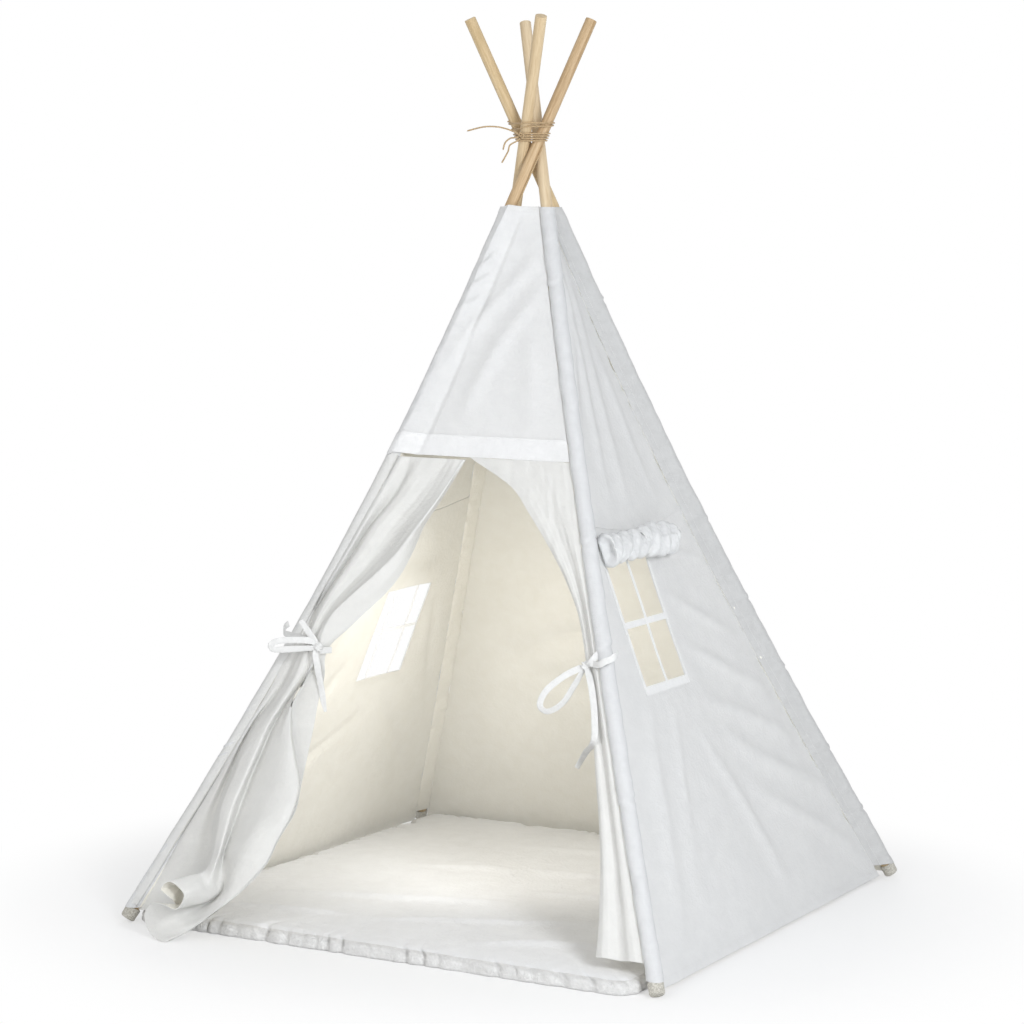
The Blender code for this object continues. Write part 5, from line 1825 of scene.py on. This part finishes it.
def makeLashing():
    radius, size = cordFacts["radius"], 0.0034
    makeCord("lashingWinding", "lashing_rope", windingRoute(), radius)
    crossing = Vector((0, 0, shape["crossingHeight"]))
    for name, points in ropeEnds.items():
        route = smoothRoute([crossing + Vector(point) for point in points], 12)
        piece, path, length = makeCord(f"lashingEnd_{name}", f"lashing_end_{name}", route, radius, True)
        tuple(route[0])
    strand = []
    start, drop, steps = cordFacts["strand"]
    for k in range(steps + 1):
        z = shape["crossingHeight"] + start - drop * k / steps
        along, beside = poleWay("front_left", z), Vector((1, 0, 0))
        way = (beside - along * beside.dot(along)).normalized()
        strand.append(poleAt("front_left", z) + way * (shape["poleRadius"] + cordFacts["off"] + radius))
    piece, path, length = makeCord("lashingStrand", "lashing_strand", smoothRoute(strand, 4), radius, True)
    loops = []
    for t in (math.tau * k / 120 for k in range(121)):
        deep, rise = 0.0034 * math.cos(t * 3) - 0.001, 0.0056 * math.cos(t * 2 + 0.6) * (0.7 + 0.3 * math.sin(t))
        loops.append(crossing + Vector(cordFacts["knot"]) + Vector((0.0052 * math.sin(t * 2), deep, rise)))
    makeCord("lashingKnotLoops", "lashing_knot", loops, radius * 0.95)


makeLashing()
print("lashing made")

# Poles: turned pine with eased ends; the sections inside the sleeves stay as they are

poleFacts = {
    "gap": 0.0003,
    "bevel": 0.0012,
    "steps": 24,
    "segments": 40,
    "stride": 0.035,
    "wobble": 0.00015,
    "grainHeight": 1.6,
    "capFloor": 0.006,
    "capDepth": 0.026,
    "capWall": 0.0028,
    "capRound": 0.0045,
    "capWobble": 0.0004,
    "capSteps": 5,
    "capBulge": ((0.0, 0.45), (0.0003, 0.6), (0.0006, 0.86), (0.0002, 0.95), (-0.0008, 1.0)),  # out, share of depth
}


def alongPole(corner, length):
    lean, gap = math.acos(poleWay(corner, poleFacts["capFloor"]).z), poleFacts["gap"]
    rim = shape["poleRadius"] + gap + poleFacts["capWall"] - poleFacts["capRound"]
    z = rim * math.sin(lean) + poleFacts["capRound"] * (1 - math.cos(lean))
    steps = max(1, math.ceil(length / poleFacts["stride"]))
    for _ in range(steps):
        z += length / steps * poleWay(corner, z).z
    return poleAt(corner, z), poleWay(corner, z)


def turned(name, profile, corner, start, material, wobble, seed):
    mesh = bmesh.new()
    rings = []
    for radius, height in profile:
        centre, direction = alongPole(corner, start + height)
        turn = direction.to_track_quat("Z", "Y").to_matrix()
        ring = []
        for k in range(poleFacts["segments"] if radius else 1):
            way = level(math.tau * k / poleFacts["segments"])
            grown = radius + wobble * ripple(way.x + height * 3, way.y, seed, 0.6) if radius else 0
            ring.append(mesh.verts.new(centre + turn @ (way * grown)))
        rings.append(ring)
    loft(mesh, rings)
    piece = finishMesh(name, mesh, [material], 40)
    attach(piece, f"pole_{corner}")
    return piece


def recolour(node, material):
    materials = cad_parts[node].data.materials
    materials.clear()
    materials.append(material)


def makePole(corner, seed):
    wood = pineMaterial(corner, poleWay(corner, poleFacts["grainHeight"]))
    gap, bevel, radius, steps = poleFacts["gap"], poleFacts["bevel"], shape["poleRadius"], poleFacts["steps"]
    section = (shape["poleLength"] - gap * 2) / 3
    eased = [(radius - bevel, 0), (radius - bevel * 0.3, bevel * 0.3), (radius, bevel)]
    profile = [(0, 0), *eased, *((radius, section * step / steps) for step in range(1, steps))]
    profile += [(across, section - height) for across, height in eased[::-1]]
    profile += [(radius * 0.5, section), (0, section)]
    for k, part in enumerate(("lower", "middle", "upper")):
        recolour(f"pole_{corner}_{part}", wood)
        if part != "middle":
            start = poleFacts["capFloor"] + gap + k * (section + gap)
            piece = turned(f"poleWood_{corner}_{part}", profile, corner, start, wood, poleFacts["wobble"], seed)
            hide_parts(f"pole_{corner}_{part}")
            recolour(f"ferrule_{corner}_{part}", ferruleSteel)
    depth, rounded, capSteps = poleFacts["capDepth"], poleFacts["capRound"], poleFacts["capSteps"]
    outer, inner = radius + gap + poleFacts["capWall"], radius + gap
    profile = [(0, 0), (outer * 0.5, 0)]
    for angle in (math.radians(90) * step / capSteps for step in range(capSteps + 1)):
        profile.append((outer - rounded + rounded * math.sin(angle), rounded - rounded * math.cos(angle)))
    profile += [(outer + out, depth * share) for out, share in poleFacts["capBulge"]]
    profile += [(inner + gap, depth), (inner, depth - 0.001), (inner, 0.0062), (0, 0.0061)]
    cap = turned(f"footCapFelt_{corner}", profile, corner, 0, footFelt, poleFacts["capWobble"], seed + 1)
    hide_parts(f"foot_cap_{corner}")


for number, corner in enumerate(corners):
    makePole(corner, 90 + number * 3)
print("poles made")

# Floor, background and light

stage = {"size": 14, "scale": 2, "low": 0.925, "high": 0.935, "fade": (0.70, 1.25, 0.40, 1.0)}
sky = {"colour": (0.97, 0.985, 1.0, 1), "strength": 0.52}
# each lamp: its place, what it looks at, its size, power and colour
lights = {
    "key": ((-0.8, -4.8, 3.7), (0, -0.2, 0.6), 1.2, 21, (1.0, 0.985, 0.965)),
    "side": ((3.7, -2.9, 2.4), (0.3, 0, 0.5), 1.2, 118, (0.945, 0.968, 1.0)),
    "behind": ((-2.4, 4.2, 2.6), (0, 0, 0.8), 3.0, 64, (1.0, 0.99, 0.97)),
    "doorway": ((0.3, -2.5, 1.25), (0.0, -0.45, 0.0), 0.8, 9, (1.0, 0.99, 0.975)),
    "inside": ((-0.06, 0.02, 0.66), (-0.14, 0.1, 0), 0.24, 0.24, (1.0, 0.98, 0.93)),
    "within": ((0.03, -0.20, 0.50), (-0.38, 0.47, 0.23), 0.28, 1.42, (1.0, 0.965, 0.89)),
}


def plainRays(tree):
    path = tree.nodes.new("ShaderNodeLightPath").outputs
    bent = calc(tree, "MAXIMUM", path["Is Glossy Ray"], path["Is Transmission Ray"])
    return calc(tree, "MAXIMUM", path["Is Camera Ray"], bent)


def makeStage():
    mesh, size = bpy.data.meshes.new("studioFloor"), stage["size"]
    mesh.from_pydata([(-size, -size, 0), (size, -size, 0), (size, size, 0), (-size, size, 0)], [], [(0, 1, 2, 3)])
    floor = addObject("studioFloor", mesh)
    material, tree, shader = speckled("paleFloor", 0.9, stage["scale"], (stage["low"],) * 3, (stage["high"],) * 3)
    # Seen by the camera, the floor turns plain white away from the teepee and keeps its shadow beside it
    away = addNode(tree, "ShaderNodeVectorMath", {0: objectPlace(tree)}, operation="LENGTH").outputs["Value"]
    reach = dict(zip(("From Min", "From Max", "To Min", "To Max"), stage["fade"]))
    fade = addNode(tree, "ShaderNodeMapRange", {"Value": away, **reach}, interpolation_type="SMOOTHSTEP")
    share = calc(tree, "MULTIPLY", fade.outputs["Result"], plainRays(tree))
    mixInto(tree, share, shader, tree.nodes.new("ShaderNodeEmission"), "Material Output")
    mesh.materials.append(material)


def makeWorld():
    scene.world = bpy.data.worlds.new("studioWorld")
    scene.world.use_nodes = True
    tree = scene.world.node_tree
    background = tree.nodes["Background"]
    background.inputs["Color"].default_value = sky["colour"]
    background.inputs["Strength"].default_value = sky["strength"]
    seen = addNode(tree, "ShaderNodeBackground", {"Color": (1, 1, 1, 1), "Strength": 1})
    mixInto(tree, plainRays(tree), background, seen, "World Output")


def makeLights():
    for name, (spot, aim, size, power, colour) in lights.items():
        light = bpy.data.lights.new(f"{name}Light", "AREA")
        light.size, light.energy, light.color = size, power, colour
        holder = addObject(f"{name}Light", light)
        holder.location, holder.rotation_mode = spot, "QUATERNION"
        holder.rotation_quaternion = (Vector(aim) - Vector(spot)).to_track_quat("-Z", "Y")
        holder.visible_camera = False


makeStage()
makeWorld()
makeLights()
scene.view_settings.view_transform = "Standard"
print("stage and lights made")
